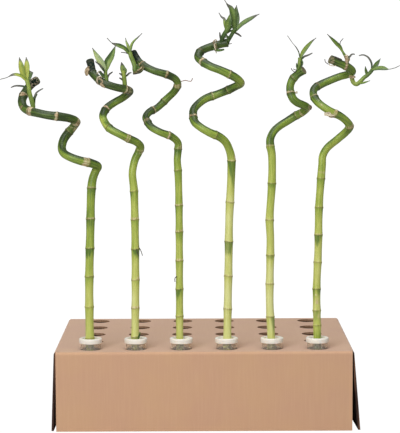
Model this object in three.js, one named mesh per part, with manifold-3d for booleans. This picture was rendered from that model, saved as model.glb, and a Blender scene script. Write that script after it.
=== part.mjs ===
// Lucky bamboo: six spiral-trained stalks, each in its own clear tube of water with a white collar.
// The six tubes stand in the front row of round holes of a folded corrugated-board stand.
// Millimetres, +Z up. The long front of the stand faces -Y and +X is to the right.

import * as THREE from 'three';
import { mergeVertices } from 'three/addons/utils/BufferGeometryUtils.js';
import Module from 'manifold-3d';

const wasm = await Module();
wasm.setup();

// Driving dimensions
const GAP = 0.3; // clearance between pieces that touch
const STAND = { length: 399, depth: 300, height: 108, board: 3, fold: 4 };
const HOLES = { columns: 6, rows: 5, pitchX: 61.5, pitchY: 61, diameter: 28.4, sides: 12 };
const OUTER_STEPS = 4; // facets round the outside of a fold
const INNER_STEPS = 2;
const FLAP = { bulge: 2.8, slit: 0.5, lap: 1.5, steps: 3 }; // end flaps, folded down outside the ends
const SPLAY = { left: { front: 6.8, back: 3.5 }, right: { front: 11.3, back: 1 } };
const TUBE = { radius: 13.7, wall: 1.2, floor: 2.6, height: 118, sides: 16 };
const COLLAR = { radius: 15.6, mouth: 10.4, top: 123, web: 120.4, skirt: 116.4, round: 1.3 };
const WATER_LEVEL = 104; // just below the top of the stand, where it is out of sight
const STALK = { sides: 8, samples: 600, turn: 0.4, bevel: 0.8 };
const RING = { rise: 0.6, reach: 2.2 }; // the swelling at a node of the stalk
const BLADE = { thickness: 0.8, fold: 0.28, step: 5.5, base: 0.4, peak: 0.36, tip: 0.45 };
const STRAP = { width: 1.8, body: 1.3 };
const STEM_SIDES = 6;
const MERGE = 1e-4; // points closer than this are one point
const ROW_Y = -(HOLES.rows - 1) * HOLES.pitchY / 2; // the tubes stand in the front row
const FOOT_Z = TUBE.floor + GAP; // the cut foot of a stalk, on the floor of its tube

const COLOURS = {
  board: 0xc69c7d,
  tube: 0xdfe6e2,
  collar: 0xf3ecdf,
  water: 0xc5d2b8,
  stalk: 0x76993a,
  shoot: 0x6f9a3c,
};

// Stalks, left to right. Path points are [x, y, z] from the tube's centre on the floor,
// and rings are the heights of the nodes.
const STALKS = [
  {
    radius: 6.1,
    path: [
      [0, 0, FOOT_Z], [-1, 0, 124], [-1, 0, 196], [1, 0, 264], [3, 0, 322], [5, 2, 339], [9, 4, 350],
      [12, 0, 356], [4, -9, 361], [-10, -17, 365], [-24, -16, 370], [-33, -8, 375], [-36, 1, 382],
      [-34, 9, 392], [-28, 14, 401], [-21, 11, 409], [-17, 2, 416], [-23, -11, 421], [-36, -20, 424],
      [-51, -23, 426], [-66, -20, 429], [-79, -11, 432], [-86, -3, 436], [-89, 4, 443],
      [-88, 9, 450], [-85, 12, 456], [-81, 14, 462], [-75, 14, 468], [-67, 13, 473],
    ],
    rings: [45, 84, 124, 166.5, 208, 246, 286, 327.5, 362.5, 403, 416, 424.7, 431.3, 452],
  },
  {
    radius: 5.6,
    path: [
      [0, 0, FOOT_Z], [-1, 0, 123], [0, 0, 189], [0, 0, 270], [-1, 0, 324], [-3, 0, 345], [-2, 2, 355],
      [1, 5, 366], [5, 7, 374], [8, 3, 382], [3, -6, 389], [-7, -13, 394], [-18, -19, 400],
      [-31, -16, 407], [-38, -7, 414], [-42, 1, 423], [-40, 8, 430], [-35, 14, 436], [-26, 18, 442],
      [-17, 15, 447], [-9, 8, 453], [-6, 0, 457], [-12, -9, 460], [-21, -14, 462], [-31, -17, 465],
      [-41, -15, 469], [-49, -10, 475], [-55, -4, 482], [-57, 0, 491], [-59, 3, 499],
    ],
    rings: [46, 85, 125, 164.5, 203, 244.5, 285, 323, 379, 394.5, 408.5, 431.5, 460, 472, 483],
  },
  {
    radius: 5.3,
    path: [
      [-1, 0, FOOT_Z], [-2, 0, 123], [-2, 0, 297], [-3, 0, 348], [-4, 0, 364], [-3, 2, 378],
      [-3, 1, 387], [-11, -8, 396], [-27, -17, 403], [-39, -13, 410], [-44, -5, 417], [-46, 2, 422],
      [-42, 8, 428], [-31, 14, 434], [-18, 16, 446], [-7, 9, 457], [-3, 1, 466], [-6, -6, 473],
      [-17, -13, 479], [-33, -17, 484], [-46, -12, 490], [-54, -6, 496], [-59, -1, 503], [-63, 3, 509],
    ],
    rings: [36, 75, 113, 153, 190.5, 228.5, 268, 303.5, 351, 380, 398.5, 415.5, 431, 443, 463.5, 479.5, 494],
  },
  {
    radius: 5.8,
    path: [
      [0, 0, FOOT_Z], [1, 0, 122], [3, 0, 226], [4, 0, 283], [6, 0, 324], [7, 0, 348], [7, -1, 367],
      [4, -4, 379], [-1, -9, 389], [-9, -14, 396], [-22, -19, 402], [-34, -17, 409], [-42, -8, 416],
      [-44, 0, 425], [-43, 6, 432], [-37, 13, 439], [-27, 19, 446], [-13, 21, 451], [2, 17, 457],
      [14, 8, 463], [20, -2, 467], [15, -10, 473], [5, -16, 479], [-8, -19, 485], [-21, -17, 490],
      [-31, -10, 496], [-37, -2, 502], [-34, 5, 509], [-27, 11, 513], [-18, 14, 516], [-7, 15, 519],
      [3, 14, 521],
    ],
    rings: [42, 80, 120, 163, 207.5, 254.5, 307.5, 364, 399, 421.5, 449.5, 458, 479.5, 495, 508.5, 517],
  },
  {
    radius: 5.7,
    path: [
      [-1, 0, FOOT_Z], [-1, 0, 122], [-3, 0, 174], [-2, 0, 256], [-3, 0, 283], [0, 0, 332], [0, 0, 371],
      [-2, 0, 383], [-2, 2, 392], [3, 7, 402], [11, 12, 409], [21, 16, 415], [32, 16, 422],
      [42, 9, 428], [47, 0, 434], [41, -8, 438], [34, -12, 441], [28, -14, 446], [25, -12, 453],
      [24, -9, 462], [27, -7, 471], [33, -8, 478], [42, -11, 485],
    ],
    rings: [32, 70, 110, 152, 196.5, 236, 283, 333, 382.5, 423.5, 453.5, 474],
  },
  {
    radius: 5.6,
    path: [
      [0, 0, FOOT_Z], [0, 0, 122], [-1, 0, 188], [1, 0, 242], [2, 0, 300], [4, 0, 331], [6, 0, 357],
      [7, 2, 369], [13, 7, 379], [28, 14, 391], [38, 11, 400], [43, 3, 408], [38, -6, 416],
      [29, -12, 423], [15, -17, 430], [2, -13, 439], [-4, -6, 446], [-6, 1, 453], [-4, 7, 459],
      [4, 13, 464], [18, 17, 470], [31, 17, 475], [41, 11, 478], [46, 1, 482], [41, -7, 487],
      [33, -12, 491], [23, -15, 495], [15, -17, 499],
    ],
    rings: [30, 66, 103, 140, 160, 189.5, 226, 263, 300, 339.5, 409, 426.5, 447.5, 462, 489.5],
  },
];

// Shoots. Each has a stem with its radius at the root and at the top, broad leaves, and narrow
// straps, which are dried leaves. A leaf has a width and the way its upper side faces. Its peak is
// the share of its length where it is widest, and body is the share before the thin tail.
const TO_VIEWER = [0, -1, 0.25];
const UPWARD = [0, -0.4, 1];
const TILTED = [0, -1, 0.7];
const SHOOTS = [
  {
    name: 'shoot_1',
    stalk: 1,
    stem: [[-76, -12, 431], [-73, -11, 437], [-74, -12, 443], [-77, -13, 455], [-79, -12, 466],
      [-81, -11, 473]],
    radii: [2.6, 2.2],
    leaves: [
      { path: [[-81, -11, 471], [-85, -13, 479], [-88, -16, 494], [-90, -15, 503]], width: 7.5, peak: 0.55 },
      { path: [[-81, -11, 471], [-81, -9, 480], [-81, -5, 494], [-82, -3, 503]], width: 7.5, peak: 0.55 },
      { path: [[-81, -12, 471], [-88, -17, 478], [-97, -22, 480], [-107, -25, 476], [-115, -24, 474]],
        width: 5, body: 0.75, face: TILTED },
      { path: [[-80, -11, 468], [-79, -9, 475], [-76, -6, 481], [-73, -5, 482]], width: 5, body: 1.5 },
    ],
    straps: [
      [[-75, -12, 440], [-71, -8, 450], [-69, -5, 455], [-64, -2, 459], [-60, 0, 461]],
      [[-78, -13, 463], [-89, -18, 465], [-96, -20, 465], [-101, -22, 463]],
    ],
  },
  {
    name: 'shoot_2a',
    stalk: 2,
    stem: [[-36, -15, 466], [-36, -15, 474], [-37, -15, 479], [-37, -16, 486]],
    radii: [2.7, 2.2],
    leaves: [
      { path: [[-37, -16, 483], [-42, -19, 494], [-48, -21, 504], [-54, -22, 515]], width: 8 },
      { path: [[-37, -15, 484], [-34, -13, 496], [-30, -10, 503], [-27, -7, 510], [-24, -4, 518]], width: 9 },
      { path: [[-37, -16, 475], [-42, -18, 480], [-45, -19, 484]], width: 4.5, body: 1.4 },
    ],
    straps: [
      [[-37, -17, 481], [-43, -21, 491], [-50, -24, 497]],
      [[-36, -14, 471], [-33, -9, 479], [-28, -6, 483]],
    ],
  },
  {
    name: 'shoot_2b',
    stalk: 2,
    stem: [[-12, -8, 459], [-12, -9, 468], [-13, -10, 478], [-14, -10, 485]],
    radii: [2.7, 2.2],
    leaves: [
      { path: [[-13, -10, 480], [-14, -11, 486], [-16, -13, 496]], width: 5 },
      { path: [[-13, -10, 479], [-11, -8, 487], [-9, -6, 484]], width: 4, body: 1.3 },
    ],
    straps: [
      [[-12, -9, 476], [-8, -7, 479], [-6, -6, 481], [-3, -5, 482]],
      [[-13, -10, 477], [-17, -13, 480], [-19, -15, 481]],
      [[-13, -9, 471], [-17, -12, 474], [-19, -14, 475]],
    ],
  },
  {
    name: 'shoot_3',
    stalk: 3,
    stem: [[-49, -11, 490], [-54, -14, 484], [-59, -16, 484], [-60, -15, 491], [-62, -14, 497],
      [-65, -14, 504], [-66, -13, 509]],
    radii: [4.4, 2.3],
    leaves: [
      { path: [[-66, -13, 506], [-73, -16, 514], [-79, -18, 517], [-89, -21, 521], [-96, -22, 528]],
        width: 5, body: 0.8, face: UPWARD },
      { path: [[-66, -13, 507], [-69, -10, 518], [-71, -8, 523], [-72, -7, 528]], width: 4 },
      { path: [[-66, -13, 506], [-64, -10, 518], [-61, -8, 523], [-56, -5, 528], [-50, -1, 534]],
        width: 4, face: UPWARD },
    ],
    straps: [],
  },
  {
    name: 'shoot_4a',
    stalk: 4,
    stem: [[-6, 14, 519], [-5, 11, 525], [-3, 8, 530], [1, 6, 537], [4, 5, 543]],
    radii: [3, 3],
    leaves: [
      { path: [[2, 5, 537], [3, 3, 545], [5, 1, 552], [6, 2, 560]], width: 8.5 },
      { path: [[1, 6, 536], [-1, 9, 547], [-2, 11, 553], [-5, 12, 555], [-9, 13, 561]], width: 3, body: 0.9 },
    ],
    straps: [[[-5, 12, 523], [-7, 9, 528], [-8, 8, 535]]],
  },
  {
    name: 'shoot_4b',
    stalk: 4,
    stem: [[2, 14, 519], [3, 13, 523], [6, 12, 528], [9, 11, 533], [12, 10, 538]],
    radii: [2.8, 2.4],
    leaves: [
      { path: [[12, 10, 536], [15, 13, 551], [14, 16, 562], [15, 17, 571]], width: 7.5, peak: 0.6 },
      { path: [[12, 10, 536], [10, 8, 551], [9, 7, 562], [7, 7, 567], [3, 7, 571], [-2, 8, 579]],
        width: 7.5, peak: 0.5, body: 0.8 },
      { path: [[12, 10, 535], [20, 6, 544], [27, 3, 549], [34, 1, 553], [39, 0, 556], [45, -1, 559]],
        width: 5, face: TILTED },
    ],
    straps: [[[11, 10, 535], [17, 6, 532], [21, 5, 529]]],
  },
  {
    name: 'shoot_5',
    stalk: 5,
    stem: [[34, -9, 478], [35, -11, 485], [36, -12, 491], [37, -12, 497], [37, -12, 501]],
    radii: [2.2, 1.9],
    leaves: [
      { path: [[37, -12, 499], [35, -14, 508], [31, -15, 515], [27, -16, 520], [20, -17, 530]],
        width: 2.4, body: 0.7, face: UPWARD },
      { path: [[37, -12, 499], [40, -10, 506], [44, -8, 512], [49, -6, 518], [54, -4, 523], [59, -3, 527]],
        width: 5 },
      { path: [[35, -12, 485], [33, -14, 489], [32, -15, 494]], width: 2.6 },
    ],
    straps: [[[37, -12, 496], [42, -16, 502], [47, -19, 504], [53, -21, 507]]],
  },
  {
    name: 'shoot_6a',
    stalk: 6,
    stem: [[37, -11, 489], [38, -12, 496], [36, -12, 502], [33, -13, 507], [31, -13, 511]],
    radii: [3.1, 1.3],
    leaves: [
      { path: [[32, -13, 508], [29, -14, 514], [24, -16, 519], [19, -18, 524], [11, -20, 532]], width: 5.2 },
    ],
    straps: [[[37, -12, 497], [42, -9, 502], [45, -7, 505], [49, -6, 505]]],
  },
  {
    name: 'shoot_6b',
    stalk: 6,
    stem: [[45, 2, 480], [46, 2, 472], [48, 1, 467], [52, 0, 465], [58, -1, 470], [62, -1, 474],
      [66, -2, 477], [70, -3, 481], [73, -4, 485]],
    radii: [2.9, 1.7],
    leaves: [
      { path: [[52, 0, 465], [56, -4, 466], [61, -7, 467], [69, -11, 470]], width: 3.4, face: TILTED },
      { path: [[73, -4, 484], [78, -1, 491], [81, 1, 495], [84, 3, 499]], width: 4.4 },
      { path: [[72, -4, 484], [80, -7, 486], [86, -10, 486], [93, -12, 485], [102, -14, 487],
        [108, -15, 490]], width: 5, body: 0.62, face: TILTED },
      { path: [[66, -2, 477], [64, -4, 483], [63, -5, 489]], width: 2.8 },
    ],
    straps: [
      [[71, -3, 482], [72, -1, 491], [70, 0, 497], [67, 1, 501], [64, 2, 503], [60, 3, 504], [55, 3, 503]],
    ],
  },
];

const vector = (point) => new THREE.Vector3(...point);
const curveThrough = (path) => {
  const curve = new THREE.CatmullRomCurve3(path.map(vector), false, 'centripetal');
  curve.arcLengthDivisions = 1500;
  return curve;
};

// The same surface with its shared vertices merged and its faces pointing out.
function closed(geometry) {
  const bare = geometry.clone();
  bare.deleteAttribute('normal');
  bare.deleteAttribute('uv');
  const merged = mergeVertices(bare, MERGE);
  const index = Array.from(merged.index.array);
  const at = (i) => new THREE.Vector3().fromBufferAttribute(merged.attributes.position, i);
  const kept = [];
  let volume = 0;
  for (let i = 0; i < index.length; i += 3) {
    const [a, b, c] = index.slice(i, i + 3);
    if (a === b || b === c || c === a) continue;
    volume += at(a).dot(at(b).cross(at(c)));
    kept.push(a, b, c);
  }
  if (volume < 0) kept.reverse();
  merged.setIndex(kept);
  merged.computeVertexNormals();
  return merged;
}

function toSolid(geometry) {
  const mesh = closed(geometry);
  const vertProperties = new Float32Array(mesh.attributes.position.array);
  const triVerts = new Uint32Array(mesh.index.array);
  return new wasm.Manifold(new wasm.Mesh({ numProp: 3, vertProperties, triVerts }));
}

function toGeometry(solid) {
  const mesh = solid.getMesh();
  const geometry = new THREE.BufferGeometry();
  geometry.setAttribute('position', new THREE.BufferAttribute(new Float32Array(mesh.vertProperties), 3));
  geometry.setIndex(Array.from(mesh.triVerts));
  geometry.computeVertexNormals();
  return geometry;
}

// A closed body through sections that have the same number of points, with a flat cap at each end.
function loft(sections) {
  const count = sections[0].length;
  const positions = sections.flat().flatMap((point) => point.toArray());
  const index = [];
  for (let s = 0; s + 1 < sections.length; s++) {
    for (let i = 0; i < count; i++) {
      const a = s * count + i;
      const b = s * count + (i + 1) % count;
      index.push(a, b, b + count, a, b + count, a + count);
    }
  }
  const last = (sections.length - 1) * count;
  for (let i = 1; i + 1 < count; i++) {
    index.push(0, i + 1, i, last, last + i, last + i + 1);
  }
  const geometry = new THREE.BufferGeometry();
  geometry.setAttribute('position', new THREE.Float32BufferAttribute(positions, 3));
  geometry.setIndex(index);
  return geometry;
}

// How far the corners of a polygon reach when it has the area of a circle of this radius.
function cornerReach(radius, sides) {
  const step = 2 * Math.PI / sides;
  return radius * Math.sqrt(step / Math.sin(step));
}

function roundSection(centre, normal, binormal, radius, sides) {
  const step = 2 * Math.PI / sides;
  const reach = cornerReach(radius, sides);
  return Array.from({ length: sides }, (_, i) => centre.clone()
    .addScaledVector(normal, reach * Math.cos(i * step))
    .addScaledVector(binormal, reach * Math.sin(i * step)));
}

// A turned body from its profile of [radius, height] points.
function turned(profile, sides) {
  const points = profile.map(([radius, height]) => new THREE.Vector2(radius, height));
  return closed(new THREE.LatheGeometry(points, sides).rotateX(Math.PI / 2));
}

// Sample numbers along a stalk: three at each ring, and enough between them to follow the bends.
function stations(tangents, rings, reach) {
  const last = tangents.length - 1;
  const marks = [0, last - 1, last, ...rings.flatMap((ring) => [ring - reach, ring, ring + reach])];
  marks.sort((a, b) => a - b);
  const list = [marks[0]];
  for (let k = 1; k < marks.length; k++) {
    let turning = 0;
    for (let i = marks[k - 1]; i < marks[k]; i++) turning += tangents[i].angleTo(tangents[i + 1]);
    const steps = Math.max(1, Math.ceil(turning / STALK.turn));
    for (let j = 1; j <= steps; j++) {
      list.push(Math.round(THREE.MathUtils.lerp(marks[k - 1], marks[k], j / steps)));
    }
  }
  return list;
}

// A stalk follows its path, swells at each ring and ends in a flat cut. grow makes it larger all over.
function stalkBody({ path, rings, radius }, grow = 0) {
  const curve = curveThrough(path);
  const points = curve.getSpacedPoints(STALK.samples);
  const last = points.length - 1;
  const { tangents, normals, binormals } = curve.computeFrenetFrames(STALK.samples);
  const reach = Math.round(RING.reach / points[0].distanceTo(points[1]));
  const marks = rings.map((height) => points.findIndex((point) => point.z >= height));
  const sections = stations(tangents, marks, reach).map((i) => {
    const nearest = Math.min(...marks.map((mark) => Math.abs(mark - i)));
    const swell = RING.rise * Math.max(0, 1 - nearest / reach);
    const cut = i === last ? STALK.bevel : 0;
    const push = (i === last) - (i === 0);
    const centre = points[i].clone().addScaledVector(tangents[i], push * grow);
    return roundSection(centre, normals[i], binormals[i], radius + swell - cut + grow, STALK.sides);
  });
  return loft(sections);
}

function stemBody(path, [rootRadius, topRadius]) {
  const curve = curveThrough(path);
  const steps = path.length + 1;
  const points = curve.getSpacedPoints(steps);
  const { normals, binormals } = curve.computeFrenetFrames(steps);
  return loft(points.map((point, i) => {
    const radius = THREE.MathUtils.lerp(rootRadius, topRadius, i / steps);
    return roundSection(point, normals[i], binormals[i], radius, STEM_SIDES);
  }));
}

// Half the width of a leaf at a share u of its length: narrow base, widest at its peak, thin tail.
function leafHalfWidth(u, width, peak, body) {
  const rise = BLADE.base + (1 - BLADE.base) * Math.sin(Math.PI / 2 * Math.min(1, u / peak));
  const run = Math.max(0, Math.min(1, (u - peak) / (body - peak)));
  return Math.max(BLADE.tip, width / 2 * rise * Math.cos(Math.PI / 2 * run));
}

// A leaf is a thin blade, folded a little along its midrib, with the same six points at every section.
function bladeBody({ path, width, face = TO_VIEWER, peak = BLADE.peak, body = 1 }) {
  const curve = curveThrough(path);
  const steps = Math.max(3, Math.round(curve.getLength() / BLADE.step));
  const half = BLADE.thickness / 2;
  const sections = [];
  for (let i = 0; i <= steps; i++) {
    const u = i / steps;
    const centre = curve.getPointAt(u);
    const along = curve.getTangentAt(u);
    const up = vector(face).addScaledVector(along, -vector(face).dot(along)).normalize();
    const across = new THREE.Vector3().crossVectors(along, up);
    const reach = leafHalfWidth(u, width, peak, body);
    const lift = reach * BLADE.fold;
    const corner = (side, height) => centre.clone().addScaledVector(across, side).addScaledVector(up, height);
    sections.push([
      corner(0, half), corner(reach, lift + half), corner(reach, lift - half),
      corner(0, -half), corner(-reach, lift - half), corner(-reach, lift + half),
    ]);
  }
  return loft(sections);
}

// A shoot is one body: its stem with leaves and straps rooted in it, cut off where the stalk begins.
function shootBody({ stalk, stem, radii, leaves, straps }) {
  let body = toSolid(stemBody(stem, radii));
  for (const leaf of leaves) body = body.add(toSolid(bladeBody(leaf)));
  for (const path of straps) body = body.add(toSolid(bladeBody({ path, ...STRAP })));
  return toGeometry(body.subtract(toSolid(stalkBody(STALKS[stalk - 1], GAP))));
}

// Points on an arc of a fold, from one angle in degrees to another.
function arcPoints(x, z, radius, from, to, steps) {
  return Array.from({ length: steps + 1 }, (_, i) => {
    const turn = THREE.MathUtils.degToRad(THREE.MathUtils.lerp(from, to, i / steps));
    return [x + radius * Math.cos(turn), z + radius * Math.sin(turn)];
  });
}

const shapeOf = (points) => new THREE.Shape(points.map(([x, z]) => new THREE.Vector2(x, z)));

// The stand's top, front and back are one folded channel, seen here from its end.
function channelOutline() {
  const { depth, height, board, fold } = STAND;
  const edge = depth / 2;
  const bend = height - fold;
  return shapeOf([
    [-edge, 0],
    ...arcPoints(fold - edge, bend, fold, 180, 90, OUTER_STEPS),
    ...arcPoints(edge - fold, bend, fold, 90, 0, OUTER_STEPS),
    [edge, 0],
    [edge - board, 0],
    ...arcPoints(edge - fold, bend, fold - board, 0, 90, INNER_STEPS),
    ...arcPoints(fold - edge, bend, fold - board, 90, 180, INNER_STEPS),
    [board - edge, 0],
  ]);
}

// An end flap seen from the front: a lap of the top panel, the fold, and the hanging flap.
function flapOutline(side) {
  const { length, height, board, fold } = STAND;
  const outer = length / 2 + FLAP.bulge;
  const lap = length / 2 - fold - FLAP.lap;
  const bend = height - fold;
  const points = [
    [lap, height],
    ...arcPoints(outer - fold, bend, fold, 90, 0, OUTER_STEPS),
    [outer, 0],
    [outer - board, 0],
    ...arcPoints(outer - fold, bend, fold - board, 0, 90, INNER_STEPS),
    [lap, height - board],
  ];
  return shapeOf(points.map(([x, z]) => [side * x, z]));
}

// A flap hangs straight at its fold and stands out at its lower edge, more at the front than behind.
function flapBody(side, splay) {
  const reach = STAND.depth / 2 - STAND.fold - FLAP.slit;
  const bend = STAND.height - STAND.fold;
  const geometry = new THREE.ExtrudeGeometry(flapOutline(side), {
    depth: 2 * reach, steps: FLAP.steps, bevelEnabled: false,
  });
  geometry.applyMatrix4(new THREE.Matrix4().makeRotationX(Math.PI / 2).setPosition(0, reach, 0));
  const position = geometry.attributes.position;
  for (let i = 0; i < position.count; i++) {
    const drop = Math.max(0, 1 - position.getZ(i) / bend);
    const share = (position.getY(i) + reach) / (2 * reach);
    const out = THREE.MathUtils.lerp(splay.front, splay.back, share) - FLAP.bulge;
    position.setX(i, position.getX(i) + side * out * drop);
  }
  return geometry;
}

function holeCentres() {
  const centres = [];
  for (let column = 0; column < HOLES.columns; column++) {
    for (let row = 0; row < HOLES.rows; row++) {
      centres.push([
        (column - (HOLES.columns - 1) / 2) * HOLES.pitchX,
        (row - (HOLES.rows - 1) / 2) * HOLES.pitchY,
      ]);
    }
  }
  return centres;
}

function standBody() {
  const { length, depth, height, board, fold } = STAND;
  const channel = new THREE.ExtrudeGeometry(channelOutline(), {
    depth: length, bevelEnabled: false,
  });
  channel.applyMatrix4(new THREE.Matrix4().makeBasis(
    new THREE.Vector3(0, 1, 0), new THREE.Vector3(0, 0, 1), new THREE.Vector3(1, 0, 0),
  ).setPosition(-length / 2, 0, 0));
  let body = toSolid(channel);
  for (const side of [-1, 1]) {
    const relief = new THREE.BoxGeometry(2 * fold, depth - 2 * fold, 4 * board);
    relief.translate(side * length / 2, 0, height);
    body = body.subtract(toSolid(relief));
  }
  body = body.add(toSolid(flapBody(-1, SPLAY.left)));
  body = body.add(toSolid(flapBody(1, SPLAY.right)));
  for (const [x, y] of holeCentres()) {
    const radius = cornerReach(HOLES.diameter / 2, HOLES.sides);
    const punch = new THREE.CylinderGeometry(radius, radius, 4 * board, HOLES.sides);
    punch.rotateX(Math.PI / 2).translate(x, y, height);
    body = body.subtract(toSolid(punch));
  }
  return toGeometry(body);
}

function tubeBody() {
  const { radius, wall, floor, height, sides } = TUBE;
  return turned([
    [0, 0], [radius - wall, 0], [radius, wall], [radius, height],
    [radius - wall, height], [radius - wall, floor + wall], [radius - 2 * wall, floor], [0, floor],
  ], sides);
}

// The collar caps the tube: a skirt round the rim, a rounded lip, and a web that the stalk comes through.
function collarBody(stalk) {
  const { radius, mouth, top, web, skirt, round } = COLLAR;
  const seat = TUBE.height + GAP;
  const inside = TUBE.radius + GAP;
  const cap = turned([
    [0, seat], [inside, seat], [inside, skirt], [radius - round / 2, skirt], [radius, skirt + round],
    [radius, top - round], [radius - round, top], [mouth + round, top], [mouth, top - round], [mouth, web],
    [0, web],
  ], TUBE.sides);
  return toGeometry(toSolid(cap).subtract(toSolid(stalkBody(stalk, GAP))));
}

// Water fills the tube round the stalk.
function waterBody(stalk) {
  const outer = TUBE.radius - TUBE.wall - GAP;
  const bottom = TUBE.floor + GAP;
  const fill = turned([
    [0, bottom], [outer - TUBE.wall, bottom], [outer, bottom + TUBE.wall], [outer, WATER_LEVEL],
    [0, WATER_LEVEL],
  ], TUBE.sides);
  return toGeometry(toSolid(fill).subtract(toSolid(stalkBody(stalk, GAP))));
}

function finish(color, roughness, extra = {}) {
  return new THREE.MeshStandardMaterial({ color, roughness, metalness: 0, ...extra });
}

function named(name, geometry, material) {
  const mesh = new THREE.Mesh(geometry, material);
  mesh.name = name;
  return mesh;
}

const plant = new THREE.Group();
plant.add(named('stand', standBody(), finish(COLOURS.board, 0.85)));

STALKS.forEach((stalk, i) => {
  const number = i + 1;
  const place = new THREE.Group();
  place.position.set((i - (HOLES.columns - 1) / 2) * HOLES.pitchX, ROW_Y, 0);
  const clear = { transparent: true, opacity: 0.35 };
  place.add(named(`tube_${number}`, tubeBody(), finish(COLOURS.tube, 0.1, clear)));
  place.add(named(`water_${number}`, waterBody(stalk), finish(COLOURS.water, 0.05, clear)));
  place.add(named(`collar_${number}`, collarBody(stalk), finish(COLOURS.collar, 0.5)));
  place.add(named(`stalk_${number}`, closed(stalkBody(stalk)), finish(COLOURS.stalk, 0.45)));
  for (const shoot of SHOOTS.filter((one) => one.stalk === number)) {
    place.add(named(shoot.name, shootBody(shoot), finish(COLOURS.shoot, 0.5)));
  }
  plant.add(place);
});

// The origin is the middle of the whole object's box, on the floor.
const box = new THREE.Box3().setFromObject(plant);
plant.position.set(-(box.min.x + box.max.x) / 2, -(box.min.y + box.max.y) / 2, -box.min.z);

export default plant;
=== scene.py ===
"""Six spiral-trained lucky bamboo stalks in clear tubes of water, in the front row of a board tray.

Sizes are in millimetres in the tables and profiles, and become metres where a mesh is made.
+Z is up, the long front of the tray faces -Y, and +X is to the right.
"""

import math

import bpy
from mathutils import Matrix, Vector, noise


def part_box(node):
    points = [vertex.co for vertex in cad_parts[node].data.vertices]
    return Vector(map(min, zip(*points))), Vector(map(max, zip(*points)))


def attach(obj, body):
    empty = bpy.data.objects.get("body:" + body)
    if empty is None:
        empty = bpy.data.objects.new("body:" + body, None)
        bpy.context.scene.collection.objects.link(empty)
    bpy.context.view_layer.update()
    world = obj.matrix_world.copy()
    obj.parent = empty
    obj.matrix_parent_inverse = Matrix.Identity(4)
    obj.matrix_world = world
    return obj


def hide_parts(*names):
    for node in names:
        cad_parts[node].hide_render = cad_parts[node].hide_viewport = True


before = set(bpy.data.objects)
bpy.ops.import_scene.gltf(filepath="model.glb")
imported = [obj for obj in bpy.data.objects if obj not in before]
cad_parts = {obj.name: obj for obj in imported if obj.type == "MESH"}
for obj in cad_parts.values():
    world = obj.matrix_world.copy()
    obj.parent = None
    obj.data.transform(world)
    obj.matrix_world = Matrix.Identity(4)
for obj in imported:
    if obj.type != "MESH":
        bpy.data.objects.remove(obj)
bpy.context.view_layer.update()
MM = 0.001

# Camera. It stands 2.6 m in front of the tray, just above the cut tops of the canes, and looks
# slightly down on them through a long lens.
ROW_PITCH = 61 * MM  # from one row of holes to the row behind it
CAMERA_SHIFT, CAMERA_DISTANCE, CAMERA_HEIGHT = -4.6 * MM, 2590 * MM, 528.4 * MM
CAMERA_LENS, CAMERA_SENSOR = 153, 36  # mm
CAMERA_TILT, CAMERA_ROLL = 0.0971, -0.0041  # radians


def middle_of(cad_node):
    """The middle of a CAD node's box."""
    low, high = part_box(cad_node)
    return (low + high) / 2


row_left, row_right = middle_of("tube_1"), middle_of("tube_6")
TRAY_X = (row_left.x + row_right.x) / 2
TRAY_Y = row_left.y + 2 * ROW_PITCH  # the tubes stand in the first of five rows
bpy.ops.object.select_all(action="DESELECT")
bpy.ops.object.camera_add()
camera = bpy.context.object
camera.name = "camera"
camera.data.sensor_width = CAMERA_SENSOR
camera.data.lens = CAMERA_LENS
camera.data.clip_end = 50
camera.matrix_world = (
    Matrix.Translation((TRAY_X + CAMERA_SHIFT, TRAY_Y - CAMERA_DISTANCE, CAMERA_HEIGHT))
    @ Matrix.Rotation(math.pi / 2 - CAMERA_TILT, 4, "X")
    @ Matrix.Rotation(CAMERA_ROLL, 4, "Z")
)
bpy.context.scene.camera = camera

# Studio. A white floor under a white surround, one broad soft light from the front and one from
# above, as in a product photograph on white.
WHITE, FILL = 1.05, 0.25  # strength of what the camera sees as white, and of the light it gives
bpy.context.scene.view_settings.view_transform = "Standard"


def linear(code):
    """The linear colour of an sRGB hex code."""
    parts = [int(code[i:i + 2], 16) / 255 for i in (1, 3, 5)]
    return [c / 12.92 if c <= 0.04045 else ((c + 0.055) / 1.055) ** 2.4 for c in parts] + [1]


def node(tree, kind, settings=None, output=0):
    """Adds a shader node and gives one of its outputs. Lower-case settings are its properties, and
    the others are its inputs: a value, a hex code, or the output that is linked to it."""
    new = tree.nodes.new("ShaderNode" + kind)
    for key, value in (settings or {}).items():
        if isinstance(key, str) and key[0].islower():
            setattr(new, key, value)
        elif isinstance(value, bpy.types.NodeSocket):
            tree.links.new(value, new.inputs[key])
        else:
            new.inputs[key].default_value = linear(value) if isinstance(value, str) else value
    return new.outputs[output]


def new_material(name, **settings):
    """A material, its node tree and its shader, with the shader's plain settings."""
    material = bpy.data.materials.new(name)
    material.use_nodes = True
    shader = material.node_tree.nodes["Principled BSDF"]
    for key, value in settings.items():
        socket = shader.inputs[key.replace("_", " ")]
        socket.default_value = linear(value) if isinstance(value, str) else value
    return material, material.node_tree, shader


bpy.ops.mesh.primitive_plane_add(size=12, location=(0, 0, 0))
floor = bpy.context.object
floor.name = "studio_floor"
sweep, tree, shader = new_material("white_sweep", Roughness=0.9, Base_Color="#cbcbcb")
glow = node(tree, "Emission", {"Strength": WHITE})
seen = node(tree, "LightPath", output="Is Camera Ray")
burnt_out = node(tree, "MixShader", {0: seen, 1: shader.outputs[0], 2: glow})
tree.links.new(burnt_out, tree.nodes["Material Output"].inputs["Surface"])
floor.data.materials.append(sweep)

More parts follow.
